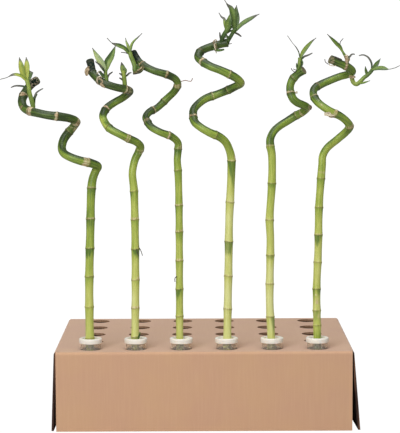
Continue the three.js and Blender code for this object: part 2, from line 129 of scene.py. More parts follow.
surround = bpy.data.worlds.new("white_surround")
bpy.context.scene.world = surround
surround.use_nodes = True
tree = surround.node_tree
backdrop = tree.nodes["Background"]
backdrop.inputs["Color"].default_value = linear("#ffffff")
seen = node(tree, "LightPath", output="Is Camera Ray")
strength = node(tree, "MapRange", {"To Min": FILL, "To Max": WHITE, "Value": seen})
tree.links.new(strength, backdrop.inputs["Strength"])


def soft_light(name, place, target, size, watts):
    """A square soft box that faces its target."""
    bpy.ops.object.light_add(type="AREA", location=place)
    light = bpy.context.object
    light.name = name
    light.data.size = size
    light.data.energy = watts
    light.rotation_euler = (Vector(target) - Vector(place)).to_track_quat("-Z", "Y").to_euler()


soft_light("front_light", place=(-0.9, -2.2, 1.3), target=(0, 0, 0.3), size=1.4, watts=34.5)
soft_light("top_light", place=(0.1, -0.5, 2.2), target=(0, 0, 0.1), size=1.6, watts=30)

# Tray. One sheet of brown corrugated board, 3 mm thick, folded down at the front and back, with
# thirty punched holes. Two end flaps hang from the short sides and stand out at their lower edges.
TRAY_LENGTH, TRAY_DEPTH, TRAY_HEIGHT = 399 * MM, 300 * MM, 108 * MM
BOARD = 3 * MM
FOLD_RADIUS = 4 * MM
HOLE = 28.4 * MM
HOLES_ALONG, HOLES_BACK = 6, 5
PITCH = 61.5 * MM  # from hole to hole along a row
FLAP_LAP, FLAP_LIFT = 8.3 * MM, 0.02 * MM  # the strip that lies on the top, and its lift over it
FLAP_BULGE = 2.8 * MM
FLAP_SLIT = 0.5 * MM
FLAP_SPLAY = {-1: (6.8 * MM, 3.5 * MM), 1: (11.3 * MM, 1 * MM)}  # side: front corner, back corner
LINER, LINER_PINK, LINER_PALE = "#c89d79", "#c69a7a", "#d0a885"
FLUTE_PITCH = 6.4 * MM  # from one wave of the inner paper to the next
PAPER_WANDER = 0.4 * MM  # how far the papers of a punched edge stray up and down


def flute_waves(tree, place, across):
    """A wave that runs from -1 to 1 with each flute along an axis."""
    distance = node(tree, "SeparateXYZ", {0: place}, across)
    phase = node(tree, "Math", {"operation": "MULTIPLY", 0: distance, 1: 2 * math.pi / FLUTE_PITCH})
    return node(tree, "Math", {"operation": "SINE", 0: phase})


def kraft_board(name, across):
    """Kraft liner: matt brown paper with clouds of 45 mm and fibres of about 1 mm, and the flutes
    below just showing through as fine lines. across is the axis that the flutes repeat along."""
    material, tree, shader = new_material(
        name, Roughness=0.75, IOR=1.45, Sheen_Weight=0.3, Sheen_Roughness=0.6
    )
    place = node(tree, "TexCoord", output="Object")
    clouds = node(tree, "TexNoise", {"Scale": 22, "Detail": 3, "Vector": place})
    # Grain lines 2 mm apart and 50 mm long.
    stretch = (1500, 60, 60) if across == "X" else (60, 60, 1500)
    grain = node(tree, "Mapping", {"Scale": stretch, "Vector": place})
    lines = node(tree, "TexNoise", {"Scale": 0.35, "Detail": 2, "Vector": grain})
    fibres = node(tree, "TexNoise", {"Scale": 900, "Detail": 4, "Vector": place})
    flutes = flute_waves(tree, place, across)
    cloudy = node(tree, "MapRange", {"From Min": 0.35, "From Max": 0.65, "Value": clouds})
    base = node(tree, "Mix", {"data_type": "RGBA", 0: cloudy, 6: LINER, 7: LINER_PINK}, 2)
    streak = node(tree, "MapRange", {"From Min": 0.45, "From Max": 0.75, "To Max": 0.3, "Value": lines})
    base = node(tree, "Mix", {"data_type": "RGBA", 0: streak, 6: base, 7: LINER_PALE}, 2)
    tree.links.new(base, shader.inputs["Base Color"])
    relief = node(tree, "Math", {"operation": "MULTIPLY_ADD", 0: flutes, 1: 0.05, 2: fibres})
    bump = node(tree, "Bump", {"Strength": 0.25, "Distance": 0.4 * MM, "Height": relief})
    tree.links.new(bump, shader.inputs["Normal"])
    return material


board_front = kraft_board("kraft_liner", "X")
board_ends = kraft_board("kraft_liner_of_the_flaps", "Z")

# Cut edge of the board: the hollows between its two papers, crossed by the wavy one, are painted dark as
# their shade.
board_cut, tree, shader = new_material("cut_corrugated_edge", Roughness=0.95, IOR=1.45)
flutes = flute_waves(tree, node(tree, "TexCoord", output="Object"), "X")
paper = node(tree, "MapRange", {"From Min": 0.55, "From Max": 0.95, "Value": flutes})
edge = node(tree, "Mix", {"data_type": "RGBA", 0: paper, 6: "#39231b", 7: "#7a5742"}, 2)
tree.links.new(edge, shader.inputs["Base Color"])

# Wall of a punched hole: open flutes, their hollows painted darker as shade in blots of 3 mm, between
# the thin pale edges of two papers.
board_punched, tree, shader = new_material("punched_corrugated_board", Roughness=0.95, IOR=1.45)
place = node(tree, "TexCoord", output="Object")
height = node(tree, "SeparateXYZ", {0: place}, "Z")
rough = node(tree, "TexNoise", {"Scale": 300, "Vector": place})
wander = node(tree, "Math", {"operation": "MULTIPLY_ADD", 0: rough, 1: PAPER_WANDER, 2: height})
middle = TRAY_HEIGHT - BOARD / 2 + PAPER_WANDER / 2
off = node(tree, "Math", {"operation": "SUBTRACT", 0: wander, 1: middle})
off = node(tree, "Math", {"operation": "ABSOLUTE", 0: off})
paper = node(tree, "MapRange", {"From Min": 1.0 * MM, "From Max": 1.35 * MM, "Value": off})
flutes = node(tree, "Mix", {"data_type": "RGBA", 0: rough, 6: "#6b4a36", 7: "#b08a6c"}, 2)
wall = node(tree, "Mix", {"data_type": "RGBA", 0: paper, 6: flutes, 7: "#d0a988"}, 2)
tree.links.new(wall, shader.inputs["Base Color"])

# Inner liner: the same paper with clouds of 25 mm, painted dark brown as the shade inside the tray.
board_inside_painted_shade, tree, shader = new_material("inner_liner_painted_shade", Roughness=0.95)
place = node(tree, "TexCoord", output="Object")
clouds = node(tree, "TexNoise", {"Scale": 40, "Detail": 3, "Vector": place})
shade = node(tree, "Mix", {"data_type": "RGBA", 0: clouds, 6: "#4a2f26", 7: "#6a4638"}, 2)
tree.links.new(shade, shader.inputs["Base Color"])


def edit(piece, mode="FACE"):
    """Makes a piece the only one that operators act on, with nothing of its mesh selected."""
    bpy.ops.object.select_all(action="DESELECT")
    bpy.context.view_layer.objects.active = piece
    piece.select_set(True)
    bpy.ops.object.mode_set(mode="EDIT")
    bpy.ops.mesh.select_mode(type=mode)
    bpy.ops.mesh.select_all(action="DESELECT")
    bpy.ops.object.mode_set(mode="OBJECT")


def apply_modifier(piece, kind, **settings):
    """Adds a modifier to a piece and applies it."""
    bpy.ops.object.select_all(action="DESELECT")
    bpy.context.view_layer.objects.active = piece
    piece.select_set(True)
    modifier = piece.modifiers.new(kind.lower(), kind)
    for key, value in settings.items():
        setattr(modifier, key, value)
    bpy.ops.object.modifier_apply(modifier=modifier.name)


def join(name, pieces):
    """Joins pieces into one."""
    bpy.ops.object.select_all(action="DESELECT")
    for piece in pieces:
        piece.select_set(True)
    bpy.context.view_layer.objects.active = pieces[0]
    bpy.ops.object.join()
    pieces[0].name = name
    return pieces[0]


def flat_sheet(name, middle_x, width, depth, height):
    """A flat sheet of board that lies evenly to the front and back of the tray's middle."""
    bpy.ops.object.select_all(action="DESELECT")
    bpy.ops.mesh.primitive_plane_add(size=1, location=(middle_x, TRAY_Y, height))
    sheet = bpy.context.object
    sheet.name = name
    sheet.scale = (width, depth, 1)
    bpy.ops.object.transform_apply(location=True, rotation=True, scale=True)
    return sheet


def select_fold(sheet, axis, fold):
    """Opens a sheet with only the edges selected that lie in its top, at the fold's place on an axis."""
    edit(sheet, "EDGE")
    for line in sheet.data.edges:
        ends = [sheet.data.vertices[i].co for i in line.vertices]
        line.select = all(abs(end[axis] - fold) < 0.01 * MM and end.z > TRAY_HEIGHT / 2 for end in ends)
    bpy.ops.object.mode_set(mode="EDIT")


def fold_down(sheet, axis, fold):
    """Folds a wall down from a sheet and rounds the fold."""
    select_fold(sheet, axis, fold)
    bpy.ops.mesh.extrude_region_move(TRANSFORM_OT_translate={"value": (0, 0, -TRAY_HEIGHT)})
    bpy.ops.object.mode_set(mode="OBJECT")
    select_fold(sheet, axis, fold)
    bpy.ops.mesh.bevel(offset=FOLD_RADIUS, segments=6, affect="EDGES")
    bpy.ops.object.mode_set(mode="OBJECT")


def thicken(sheet, liner):
    """Turns a folded sheet's face up and gives it its thickness below, with painted shade on its cut edges
    and inner paper.
    """
    edit(sheet)
    bpy.ops.object.mode_set(mode="EDIT")
    bpy.ops.mesh.select_all(action="SELECT")
    bpy.ops.mesh.normals_make_consistent(inside=False)
    bpy.ops.object.mode_set(mode="OBJECT")
    if sum(face.normal.z * face.area for face in sheet.data.polygons) < 0:
        sheet.data.flip_normals()
    for material in (liner, board_cut, board_inside_painted_shade):
        sheet.data.materials.append(material)
    apply_modifier(
        sheet, "SOLIDIFY", thickness=BOARD, offset=-1, use_even_offset=True,
        material_offset=2, material_offset_rim=1,
    )


tray = flat_sheet("tray", TRAY_X, TRAY_LENGTH, TRAY_DEPTH, TRAY_HEIGHT)
for side in (-1, 1):
    fold_down(tray, 1, TRAY_Y + side * TRAY_DEPTH / 2)
thicken(tray, board_front)

# The holes are punched through, so their walls show the cut flutes, with painted shade in their hollows. The
# top stops short of the ends, where the flaps fold down.
punches = []
for column in range(HOLES_ALONG):
    for row in range(HOLES_BACK):
        place = (
            TRAY_X + (column - (HOLES_ALONG - 1) / 2) * PITCH,
            TRAY_Y + (row - (HOLES_BACK - 1) / 2) * ROW_PITCH,
            TRAY_HEIGHT,
        )
        bpy.ops.mesh.primitive_cylinder_add(vertices=48, radius=HOLE / 2, depth=6 * BOARD, location=place)
        punches.append(bpy.context.object)
for side in (-1, 1):
    bpy.ops.mesh.primitive_cube_add(size=1, location=(TRAY_X + side * TRAY_LENGTH / 2, TRAY_Y, TRAY_HEIGHT))
    punches.append(bpy.context.object)
    punches[-1].scale = (2 * FOLD_RADIUS, TRAY_DEPTH - 2 * FOLD_RADIUS, 4 * BOARD)
punch = join("punches", punches)
apply_modifier(tray, "BOOLEAN", operation="DIFFERENCE", object=punch, solver="EXACT")
bpy.data.objects.remove(punch)
punched_wall = len(tray.data.materials)
tray.data.materials.append(board_punched)
for face in tray.data.polygons:
    from_end = TRAY_LENGTH / 2 - abs(face.center.x - TRAY_X)
    from_front_or_back = TRAY_DEPTH / 2 - abs(face.center.y - TRAY_Y)
    in_top = TRAY_HEIGHT - 1.1 * BOARD < face.center.z < TRAY_HEIGHT
    if abs(face.normal.z) < 0.3 and in_top and from_end > 1 * MM and from_front_or_back > 10 * MM:
        face.material_index = punched_wall
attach(tray, "root")

for side in (-1, 1):
    front_out, back_out = FLAP_SPLAY[side]
    outer = TRAY_LENGTH / 2 + FLAP_BULGE
    reach = TRAY_DEPTH / 2 - FOLD_RADIUS - FLAP_SLIT
    flap = flat_sheet(
        "flap_right" if side > 0 else "flap_left", TRAY_X + side * (outer - FLAP_LAP / 2),
        FLAP_LAP, 2 * reach, TRAY_HEIGHT + FLAP_LIFT,
    )
    fold_down(flap, 0, TRAY_X + side * outer)
    thicken(flap, board_ends)
    for vertex in flap.data.vertices:
        drop = max(0, 1 - vertex.co.z / (TRAY_HEIGHT - FOLD_RADIUS))
        share = (vertex.co.y - TRAY_Y + reach) / (2 * reach)
        vertex.co.x += side * drop * (front_out + (back_out - front_out) * share - FLAP_BULGE)
    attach(flap, "root")
    if side < 0:
        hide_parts("stand")
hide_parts("stand")

# Tubes. Each is a clear moulded plastic vial with a rounded foot, 27 mm wide, a little misted inside.
# It stands on the floor in its hole, and only its top 8 mm shows above the board.
TUBE_RADIUS, TUBE_WALL, TUBE_TOP = 13.7, 1.1, 118
FOOT_ROUND, FOOT_LIFT = 2.5, 0.05
TUBE_FLOOR, FLOOR_EDGE, WALL_FOOT = 2.6, 2.8, 5  # heights inside: the middle, where it turns up, the wall
FLOOR_TURN = 2  # how far from the wall the floor turns up
clear_plastic, tree, shader = new_material(
    "clear_polystyrene", Roughness=0.08, IOR=1.35, Transmission_Weight=0.85, Base_Color="#f9f3e8"
)
place = node(tree, "TexCoord", output="Object")
# The moulded wall waves a little every 8 mm.
waves = node(tree, "TexNoise", {"Scale": 120, "Detail": 1, "Vector": place})
bump = node(tree, "Bump", {"Strength": 0.1, "Distance": 0.3 * MM, "Height": waves})
tree.links.new(bump, shader.inputs["Normal"])


def turned(name, profile, centre, steps=64):
    """A body spun from a profile of radius and height in mm, closed where it meets the axis."""
    mesh = bpy.data.meshes.new(name)
    points = [(centre.x + radius * MM, centre.y, height * MM) for radius, height in profile]
    mesh.from_pydata(points, [(i, i + 1) for i in range(len(points) - 1)], [])
    piece = bpy.data.objects.new(name, mesh)
    bpy.context.collection.objects.link(piece)
    edit(piece, "VERT")
    bpy.ops.object.mode_set(mode="EDIT")
    bpy.ops.mesh.select_all(action="SELECT")
    bpy.ops.mesh.spin(steps=steps, angle=2 * math.pi, center=(centre.x, centre.y, 0), axis=(0, 0, 1))
    bpy.ops.mesh.select_all(action="SELECT")
    bpy.ops.mesh.remove_doubles(threshold=1e-6)
    bpy.ops.mesh.normals_make_consistent(inside=False)
    bpy.ops.object.mode_set(mode="OBJECT")
    bpy.ops.object.select_all(action="DESELECT")
    piece.select_set(True)
    bpy.ops.object.shade_smooth_by_angle(angle=math.radians(35))
    return piece


def quarter_round(radius, height, round_by, start, steps=6):
    """Profile points round a quarter circle, from an angle in degrees."""
    turns = [math.radians(start + 90 * i / steps) for i in range(steps + 1)]
    return [(radius + round_by * math.cos(t), height + round_by * math.sin(t)) for t in turns]


def one_for_each_stalk(first, piece_name, cad_node):
    """Copies a piece from the first hole of the front row to the others. {} in a name is the number."""
    pieces = [first]
    for number in range(2, HOLES_ALONG + 1):
        copy = first.copy()
        copy.data = first.data.copy()
        copy.name = piece_name.format(number)
        copy.data.transform(Matrix.Translation(((number - 1) * PITCH, 0, 0)))
        bpy.context.collection.objects.link(copy)
        pieces.append(copy)
    for number, piece in enumerate(pieces, 1):
        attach(piece, "root")
        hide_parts(cad_node.format(number))


first_hole = middle_of("tube_1")
tube = turned("vial_1", [
    (0, FOOT_LIFT), *quarter_round(TUBE_RADIUS - FOOT_ROUND, FOOT_ROUND + FOOT_LIFT, FOOT_ROUND, -90),
    (TUBE_RADIUS, TUBE_TOP), (TUBE_RADIUS - TUBE_WALL, TUBE_TOP), (TUBE_RADIUS - TUBE_WALL, WALL_FOOT),
    (TUBE_RADIUS - TUBE_WALL - FLOOR_TURN, FLOOR_EDGE), (0, TUBE_FLOOR),
], first_hole)
tube.data.materials.append(clear_plastic)
one_for_each_stalk(tube, "vial_{}", "tube_{}")

# Water. It fills each vial to just below the board. It wets the wall, so it reaches a hair into the
# plastic, and it creeps up the wall at its top.
WATER_TOP = 104
WET = 0.05
CREEP, CREEP_WIDTH = 0.6, 1
water, tree, shader = new_material("tap_water", Roughness=0.0, IOR=1.333, Transmission_Weight=1.0)
cloud = node(tree, "TexNoise", {"Scale": 60, "Vector": node(tree, "TexCoord", output="Object")})
tint = node(tree, "Mix", {"data_type": "RGBA", 0: cloud, 6: "#f4f8f0", 7: "#e9f0e2"}, 2)
tree.links.new(tint, shader.inputs["Base Color"])
wet_wall = TUBE_RADIUS - TUBE_WALL + WET
fill = turned("water_1_fill", [
    (0, TUBE_FLOOR - WET), (wet_wall - FLOOR_TURN, FLOOR_EDGE - WET), (wet_wall, WALL_FOOT - WET),
    (wet_wall, WATER_TOP), (wet_wall - CREEP_WIDTH, WATER_TOP - CREEP), (0, WATER_TOP - CREEP),
], first_hole)
fill.data.materials.append(water)
one_for_each_stalk(fill, "water_{}_fill", "water_{}")

# Collars. Each is a soft moulded cap of off-white plastic that clips over the vial's rim. Its lip
# stands up round a thin web, and the web grips the stalk that comes through it.
COLLAR_RADIUS, COLLAR_MOUTH, COLLAR_HOLE = 15.6, 10.4, 5
COLLAR_TOP, COLLAR_WEB, COLLAR_SKIRT = 123, 120.4, 116.4  # heights of the lip, the web and the lower edge
WEB_THICKNESS, COLLAR_SLACK = 1.4, 0.2
LIP_ROUND, SKIRT_ROUND, MOUTH_BEVEL = 1.5, 0.6, (0.6, 0.5)
COLLAR_IVORY, COLLAR_GREY = "#f6f0e4", "#e6e0d4"
soft_cap, tree, shader = new_material(
    "moulded_polyethylene", Roughness=0.45, IOR=1.5, Subsurface_Weight=0.15,
    Subsurface_Radius=(4 * MM, 3 * MM, 2 * MM),
)
place = node(tree, "TexCoord", output="Object")
# Handled plastic: greyer in clouds of 11 mm, with a fine moulded grain of 0.7 mm.
cloud = node(tree, "TexNoise", {"Scale": 90, "Detail": 3, "Vector": place})
ivory = node(tree, "Mix", {"data_type": "RGBA", 0: cloud, 6: COLLAR_IVORY, 7: COLLAR_GREY}, 2)
tree.links.new(ivory, shader.inputs["Base Color"])
pores = node(tree, "TexNoise", {"Scale": 1500, "Detail": 2, "Vector": place})
bump = node(tree, "Bump", {"Strength": 0.1, "Distance": 0.2 * MM, "Height": pores})
tree.links.new(bump, shader.inputs["Normal"])
under_web, clip = COLLAR_WEB - WEB_THICKNESS, TUBE_RADIUS + COLLAR_SLACK
collar = turned("cap_1", [
    (COLLAR_HOLE, under_web), (clip, under_web), (clip, COLLAR_SKIRT),
    *quarter_round(COLLAR_RADIUS - SKIRT_ROUND, COLLAR_SKIRT + SKIRT_ROUND, SKIRT_ROUND, -90),
    *quarter_round(COLLAR_RADIUS - LIP_ROUND, COLLAR_TOP - LIP_ROUND, LIP_ROUND, 0),
    *quarter_round(COLLAR_MOUTH + LIP_ROUND, COLLAR_TOP - LIP_ROUND, LIP_ROUND, 90),
    (COLLAR_MOUTH, COLLAR_WEB + MOUTH_BEVEL[1]), (COLLAR_MOUTH - MOUTH_BEVEL[0], COLLAR_WEB),
    (COLLAR_HOLE, COLLAR_WEB), (COLLAR_HOLE, under_web),
], first_hole)
collar.data.materials.append(soft_cap)
one_for_each_stalk(collar, "cap_{}", "collar_{}")

# Stalks. Each is a living cane 11 to 12 mm thick, straight in its vial and wound into a spiral higher
# up. Its rings are the scars of old leaves, and its cut end is rounded a little and may be waxed.
CANE_SIDES, CANE_SPACING = 32, 0.7  # faces round a cane, and mm between its points
CANE_WAIST = 0.08  # how much slimmer a joint is in its middle, as a share of its radius
RING_FLARE, FLARE_LENGTH = 0.55, 2.4  # mm that a cane swells under a ring, and over how far
RING_STEP, STEP_LENGTH = 0.15, 1.5  # the same just past the ring
RING_REACH = 40  # mm along the cane, past which a ring marks nothing
PLAIN_BAND = (1.2, 0.22)  # width and strength of the band over a ring that has none of its own
GROOVE_BELOW, GROOVE_WIDTH = 0.4, 0.7  # the brown line: mm below the ring, and its width
PATCH_INSIDE, PATCH_OUTSIDE = 18, 14  # degrees over which a patch fades, either side of its edge
TATTER = 2.2  # mm, the size of the tatters at the edge of a tan mark, stain and painted sheen alike
VIAL_MOUTH = (113, 120)  # heights between which the painted shade inside a cane's vial, a darker green, gives way
WAX_THINS = (-3, 1)  # mm over which the wax comes to an end
WAX_RAGGED = 5  # mm, how ragged that end is
RIM_WIDTH, RIM_DEPTH = 0.9 * MM, 0.5 * MM  # the thin rim that stands round the cut face
FACE_CUT, FACE_WAXED = 1, 2  # places in a cane's list of materials
FOOT = 2.9  # height of a cane's foot, on the floor of its vial

# A path is in mm from the vial's centre on the floor, and rings are given by their height. A ring can
# have a pale band above it, as width and strength, and a dark green patch below it, as direction and
# half angle in degrees (0 is the front), length and strength. Tones go by height, from 0, yellow-green,
# to 1, dark green. Tan marks are height, direction, half angle, half length and strength: most are
# stains, and the two on the outer side of the bends of canes 2 and 4 are painted sheen. wax is the
# length of the coat on the cut end, crust how far it has dried pale, rounded how far the end is round.
STALKS = [
    dict(
        radius=6.0,
        path=[
            (0, 0, FOOT), (-1, 0, 124), (-1, 0, 196), (1, 0, 264), (3, 0, 322), (5, 2, 339), (9, 4, 350),
            (12, 0, 356), (4, -9, 361), (-10, -17, 365), (-24, -16, 370), (-33, -8, 375), (-36, 1, 382),
            (-34, 9, 392), (-28, 14, 401), (-21, 11, 409), (-17, 2, 416), (-23, -11, 421), (-36, -20, 424),
            (-51, -23, 426), (-66, -20, 429), (-79, -11, 432), (-86, -3, 436), (-89, 4, 443),
            (-88, 9, 450), (-85, 12, 456), (-81, 14, 462), (-75, 14, 468), (-67, 13, 473),
        ],
        rings=[45, 84, 124, 166.5, 208, 246, 286, 327.5, 362.5, 403, 416, 424.7, 431.3, 452],
        bands={
            286: (1.8, 0.9), 327.5: (1.6, 0.5), 362.5: (4, 0.8), 416: (3.5, 0.8), 424.7: (3, 1),
            431.3: (2, 0.8), 452: (2, 0.8),
        },
        patches=[(246, -35, 100, 16, 1), (327.5, 60, 40, 6, 0.7), (208, 65, 30, 4, 0.8)],
        tones=[
            (120, 0.3), (165, 0.34), (172, 0.26), (214, 0.44), (252, 0.6), (265, 0.58), (294, 0.65),
            (321, 0.59), (336, 0.72), (350, 0.68), (366, 0.72), (378, 0.66), (403, 0.86), (415, 0.76),
            (423, 0.97), (428, 0.95), (431, 0.8), (438, 0.84), (456, 1), (464, 0.98), (470, 0.8),
        ],
        stains_and_sheen=[
            (363.6, -20, 80, 3.6, 0.75), (411, 60, 110, 6, 0.5), (404, -80, 45, 8, 0.35),
            (418, 0, 220, 3.5, 0.7), (430.8, 0, 200, 3, 0.75), (451, -15, 44, 3.6, 0.8),
        ],
        wax=20, crust=0.9, rounded=4.5,
    ),
    dict(
        radius=5.5,
        path=[
            (0, 0, FOOT), (-1, 0, 123), (0, 0, 189), (0, 0, 270), (-1, 0, 324), (-3, 0, 345), (-2, 2, 355),
            (1, 5, 366), (5, 7, 374), (8, 3, 382), (3, -6, 389), (-7, -13, 394), (-18, -19, 400),
            (-31, -16, 407), (-38, -7, 414), (-42, 1, 423), (-40, 8, 430), (-35, 14, 436), (-26, 18, 442),
            (-17, 15, 447), (-9, 8, 453), (-6, 0, 457), (-12, -9, 460), (-21, -14, 462), (-31, -17, 465),
            (-41, -15, 469), (-49, -10, 475), (-55, -4, 482), (-57, 0, 491), (-59, 3, 499),
        ],
        rings=[46, 85, 125, 164.5, 203, 244.5, 285, 323, 379, 394.5, 408.5, 431.5, 460, 472, 483],
        bands={
            164.5: (3, 0.6), 203: (1.5, 0.5), 285: (3, 0.7), 379: (2.5, 0.4), 394.5: (2, 0.9),
            431.5: (2.6, 1), 460: (2.4, 0.8), 472: (2, 0.5), 483: (1.2, 0.4),
        },
        patches=[
            (323, -65, 55, 11, 0.8), (244.5, 35, 85, 15, 0.9), (203, 75, 25, 10, 0.5),
            (125, 20, 90, 7, 0.6),
        ],
        tones=[
            (120, 0.17), (158, 0.1), (185, 0.2), (250, 0.44), (290, 0.42), (350, 0.52), (388, 0.72),
            (404, 0.6), (418, 0.4), (423, 0.74), (430, 0.84), (437, 0.8), (456, 0.84), (464, 1),
            (476, 0.93), (484, 1), (500, 1),
        ],
        # The mark at 459, on the outer side of the bend, is painted sheen.
        stains_and_sheen=[
            (377, 60, 70, 5, 0.45), (459, 85, 45, 4, 0.4), (396, 0, 120, 1.6, 0.6), (205, 60, 40, 3, 0.6),
        ],
        wax=17, crust=0.1, rounded=2.5,
    ),
    dict(
        radius=5.2,
        path=[
            (-1, 0, FOOT), (-2, 0, 123), (-2, 0, 297), (-3, 0, 348), (-4, 0, 364), (-3, 2, 378),
            (-3, 1, 387), (-11, -8, 396), (-27, -17, 403), (-39, -13, 410), (-44, -5, 417), (-46, 2, 422),
            (-42, 8, 428), (-31, 14, 434), (-18, 16, 446), (-7, 9, 457), (-3, 1, 466), (-6, -6, 473),
            (-17, -13, 479), (-33, -17, 484), (-46, -12, 490), (-54, -6, 496), (-59, -1, 503), (-63, 3, 509),
        ],
        rings=[
            36, 75, 113, 153, 190.5, 228.5, 268, 303.5, 351, 380, 398.5, 415.5, 431, 443, 463.5, 479.5,
            492.5,
        ],
        bands={
            228.5: (3, 0.8), 268: (3, 0.7), 303.5: (2.5, 0.8), 398.5: (2.5, 1), 431: (2, 0.8),
            463.5: (4, 0.6), 479.5: (2.5, 0.7), 492.5: (2.2, 0.9),
        },
        patches=[
            (190.5, -40, 75, 13, 0.9), (380, 0, 90, 8, 0.5), (303.5, -80, 35, 24, 0.6),
            (268, 80, 30, 18, 0.5),
        ],
        tones=[
            (120, 0.25), (148, 0.2), (158, 0.42), (184, 0.46), (222, 0.36), (275, 0.48), (344, 0.5),
            (378, 0.74), (396, 0.66), (405, 0.76), (424, 0.88), (440, 0.76), (455, 0.8), (468, 0.68),
            (475, 0.85), (505, 1),
        ],
        stains_and_sheen=[(416, -20, 120, 3, 0.3), (382, 60, 60, 4, 0.4), (467, 0, 220, 3, 0.6)],
        wax=16, crust=0.1, rounded=2,
    ),
    dict(
        radius=5.7,
        path=[
            (0, 0, FOOT), (1, 0, 122), (3, 0, 226), (4, 0, 283), (6, 0, 324), (7, 0, 348), (7, -1, 367),
            (4, -4, 379), (-1, -9, 389), (-9, -14, 396), (-22, -19, 402), (-34, -17, 409), (-42, -8, 416),
            (-44, 0, 425), (-43, 6, 432), (-37, 13, 439), (-27, 19, 446), (-13, 21, 451), (2, 17, 457),
            (14, 8, 463), (20, -2, 467), (15, -10, 473), (5, -16, 479), (-8, -19, 485), (-21, -17, 490),
            (-31, -10, 496), (-37, -2, 502), (-34, 5, 509), (-27, 11, 513), (-18, 14, 516), (-7, 15, 519),
            (3, 14, 521),
        ],
        rings=[
            42, 80, 120, 163, 207.5, 254.5, 307.5, 364, 399, 421.5, 449.5, 458, 479.5, 495, 508.5, 517,
        ],
        bands={
            163: (1.5, 0.4), 207.5: (1.8, 0.5), 307.5: (2, 0.5), 364: (3, 0.6), 421.5: (3, 0.9),
            449.5: (2.5, 0.5), 479.5: (2, 0.9), 495: (2.5, 0.7), 508.5: (1, 0.1), 517: (1.5, 0.6),
        },
        patches=[
            (254.5, -20, 110, 22, 0.8), (364, 45, 115, 32, 0.85), (163, -85, 30, 14, 0.6),
            (207.5, 80, 35, 20, 0.4),
        ],
        tones=[
            (120, 0.1), (180, 0), (230, 0.17), (298, 0.08), (335, 0.36), (385, 0.56), (405, 0.62),
            (420, 0.66), (422, 0.97), (436, 0.8), (446, 0.62), (450, 0.7), (457, 0.8), (461, 0.92),
            (470, 0.62), (490, 0.74), (506, 1), (512, 0.84), (518, 0.93), (521, 0.85),
        ],
        # The mark at 468, on the outer side of the bend, is painted sheen.
        stains_and_sheen=[
            (368, 65, 35, 4, 0.7), (468, 85, 45, 6, 0.35), (495.8, 20, 130, 2.2, 0.75),
            (422.5, 30, 35, 2, 0.9),
        ],
        wax=0, crust=0.1, rounded=1.5,
    ),
    dict(
        radius=5.6,
        path=[
            (-1, 0, FOOT), (-1, 0, 122), (-3, 0, 174), (-2, 0, 256), (-3, 0, 283), (0, 0, 332), (0, 0, 371),
            (-2, 0, 383), (-2, 2, 392), (3, 7, 402), (11, 12, 409), (21, 16, 415), (32, 16, 422),
            (42, 9, 428), (47, 0, 434), (41, -8, 438), (34, -12, 441), (28, -14, 446), (25, -12, 453),
            (24, -9, 462), (27, -7, 471), (33, -9, 478), (42, -14, 484.5),
        ],
        rings=[32, 70, 110, 152, 196.5, 236, 283, 333, 382.5, 423.5, 453.5, 474],
        bands={196.5: (1.5, 0.4), 283: (1.5, 0.4), 382.5: (3, 0.4), 453.5: (2.4, 1)},
        patches=[
            (152, 50, 45, 26, 0.7), (236, 0, 80, 8, 0.5), (333, 0, 90, 8, 0.35), (382.5, 60, 50, 14, 0.5),
        ],
        tones=[
            (120, 0.15), (150, 0.05), (190, 0), (255, 0.28), (275, 0.25), (307, 0.42), (360, 0.48),
            (382, 0.4), (384, 0.84), (392, 0.84), (412, 0.62), (436, 0.82), (448, 0.64), (456, 0.9),
            (470, 0.72), (480, 0.88), (485, 0.72),
        ],
        stains_and_sheen=[(434, 80, 70, 5, 0.55), (427.5, 0, 110, 2.4, 0.5)],
        wax=0, crust=0.1, rounded=0.9,
    ),
    dict(
        radius=5.5,
        path=[
            (0, 0, FOOT), (0, 0, 122), (-1, 0, 188), (1, 0, 242), (2, 0, 300), (4, 0, 331), (6, 0, 357),
            (7, 2, 369), (13, 7, 379), (28, 14, 391), (38, 11, 400), (43, 3, 408), (38, -6, 416),
            (29, -12, 423), (15, -17, 430), (2, -13, 439), (-4, -6, 446), (-6, 1, 453), (-4, 7, 459),
            (4, 13, 464), (18, 17, 470), (31, 17, 475), (41, 11, 478), (46, 1, 482), (41, -7, 487),
            (33, -12, 491), (23, -15, 495), (15, -17, 499),
        ],
        rings=[30, 66, 103, 140, 160, 189.5, 226, 263, 300, 339.5, 409, 426.5, 447.5, 462, 489.5],
        bands={
            263: (1.8, 0.6), 409: (3, 0.6), 426.5: (6, 1), 447.5: (2.4, 0.8), 462: (1.5, 0.5),
            489.5: (3, 0.9),
        },
        patches=[
            (263, -30, 80, 18, 0.85), (189.5, 45, 50, 12, 0.8), (160, -30, 60, 14, 0.5),
            (300, 70, 30, 16, 0.4), (189.5, -50, 25, 20, 0.6),
        ],
        tones=[
            (120, 0.58), (129, 0.42), (136, 0.22), (150, 0.42), (158, 0.22), (190, 0.36), (220, 0.18),
            (300, 0.44), (356, 0.54), (379, 0.5), (400, 0.57), (418, 0.7), (430, 0.58), (436, 0.62),
            (455, 0.8), (484, 0.7), (491, 0.76), (494, 0.9), (500, 0.8),
        ],
        stains_and_sheen=[
            (411, 60, 120, 3, 0.65), (347, 0, 80, 2, 0.3), (437, -10, 14, 1.5, 0.45),
            (441, 10, 12, 1.2, 0.4), (172, 5, 22, 4, 0.7), (181, -10, 15, 3, 0.6), (152, 20, 22, 3, 0.4),
            (497.5, -20, 60, 3, 0.45),
        ],
        wax=0, crust=0.1, rounded=0.9,
    ),
]
CANE_TONES = [
    (0, "#dadb93"), (0.2, "#c8ca72"), (0.4, "#b3bc59"), (0.6, "#8fa33f"), (0.8, "#637d2f"), (1, "#32441e"),
]


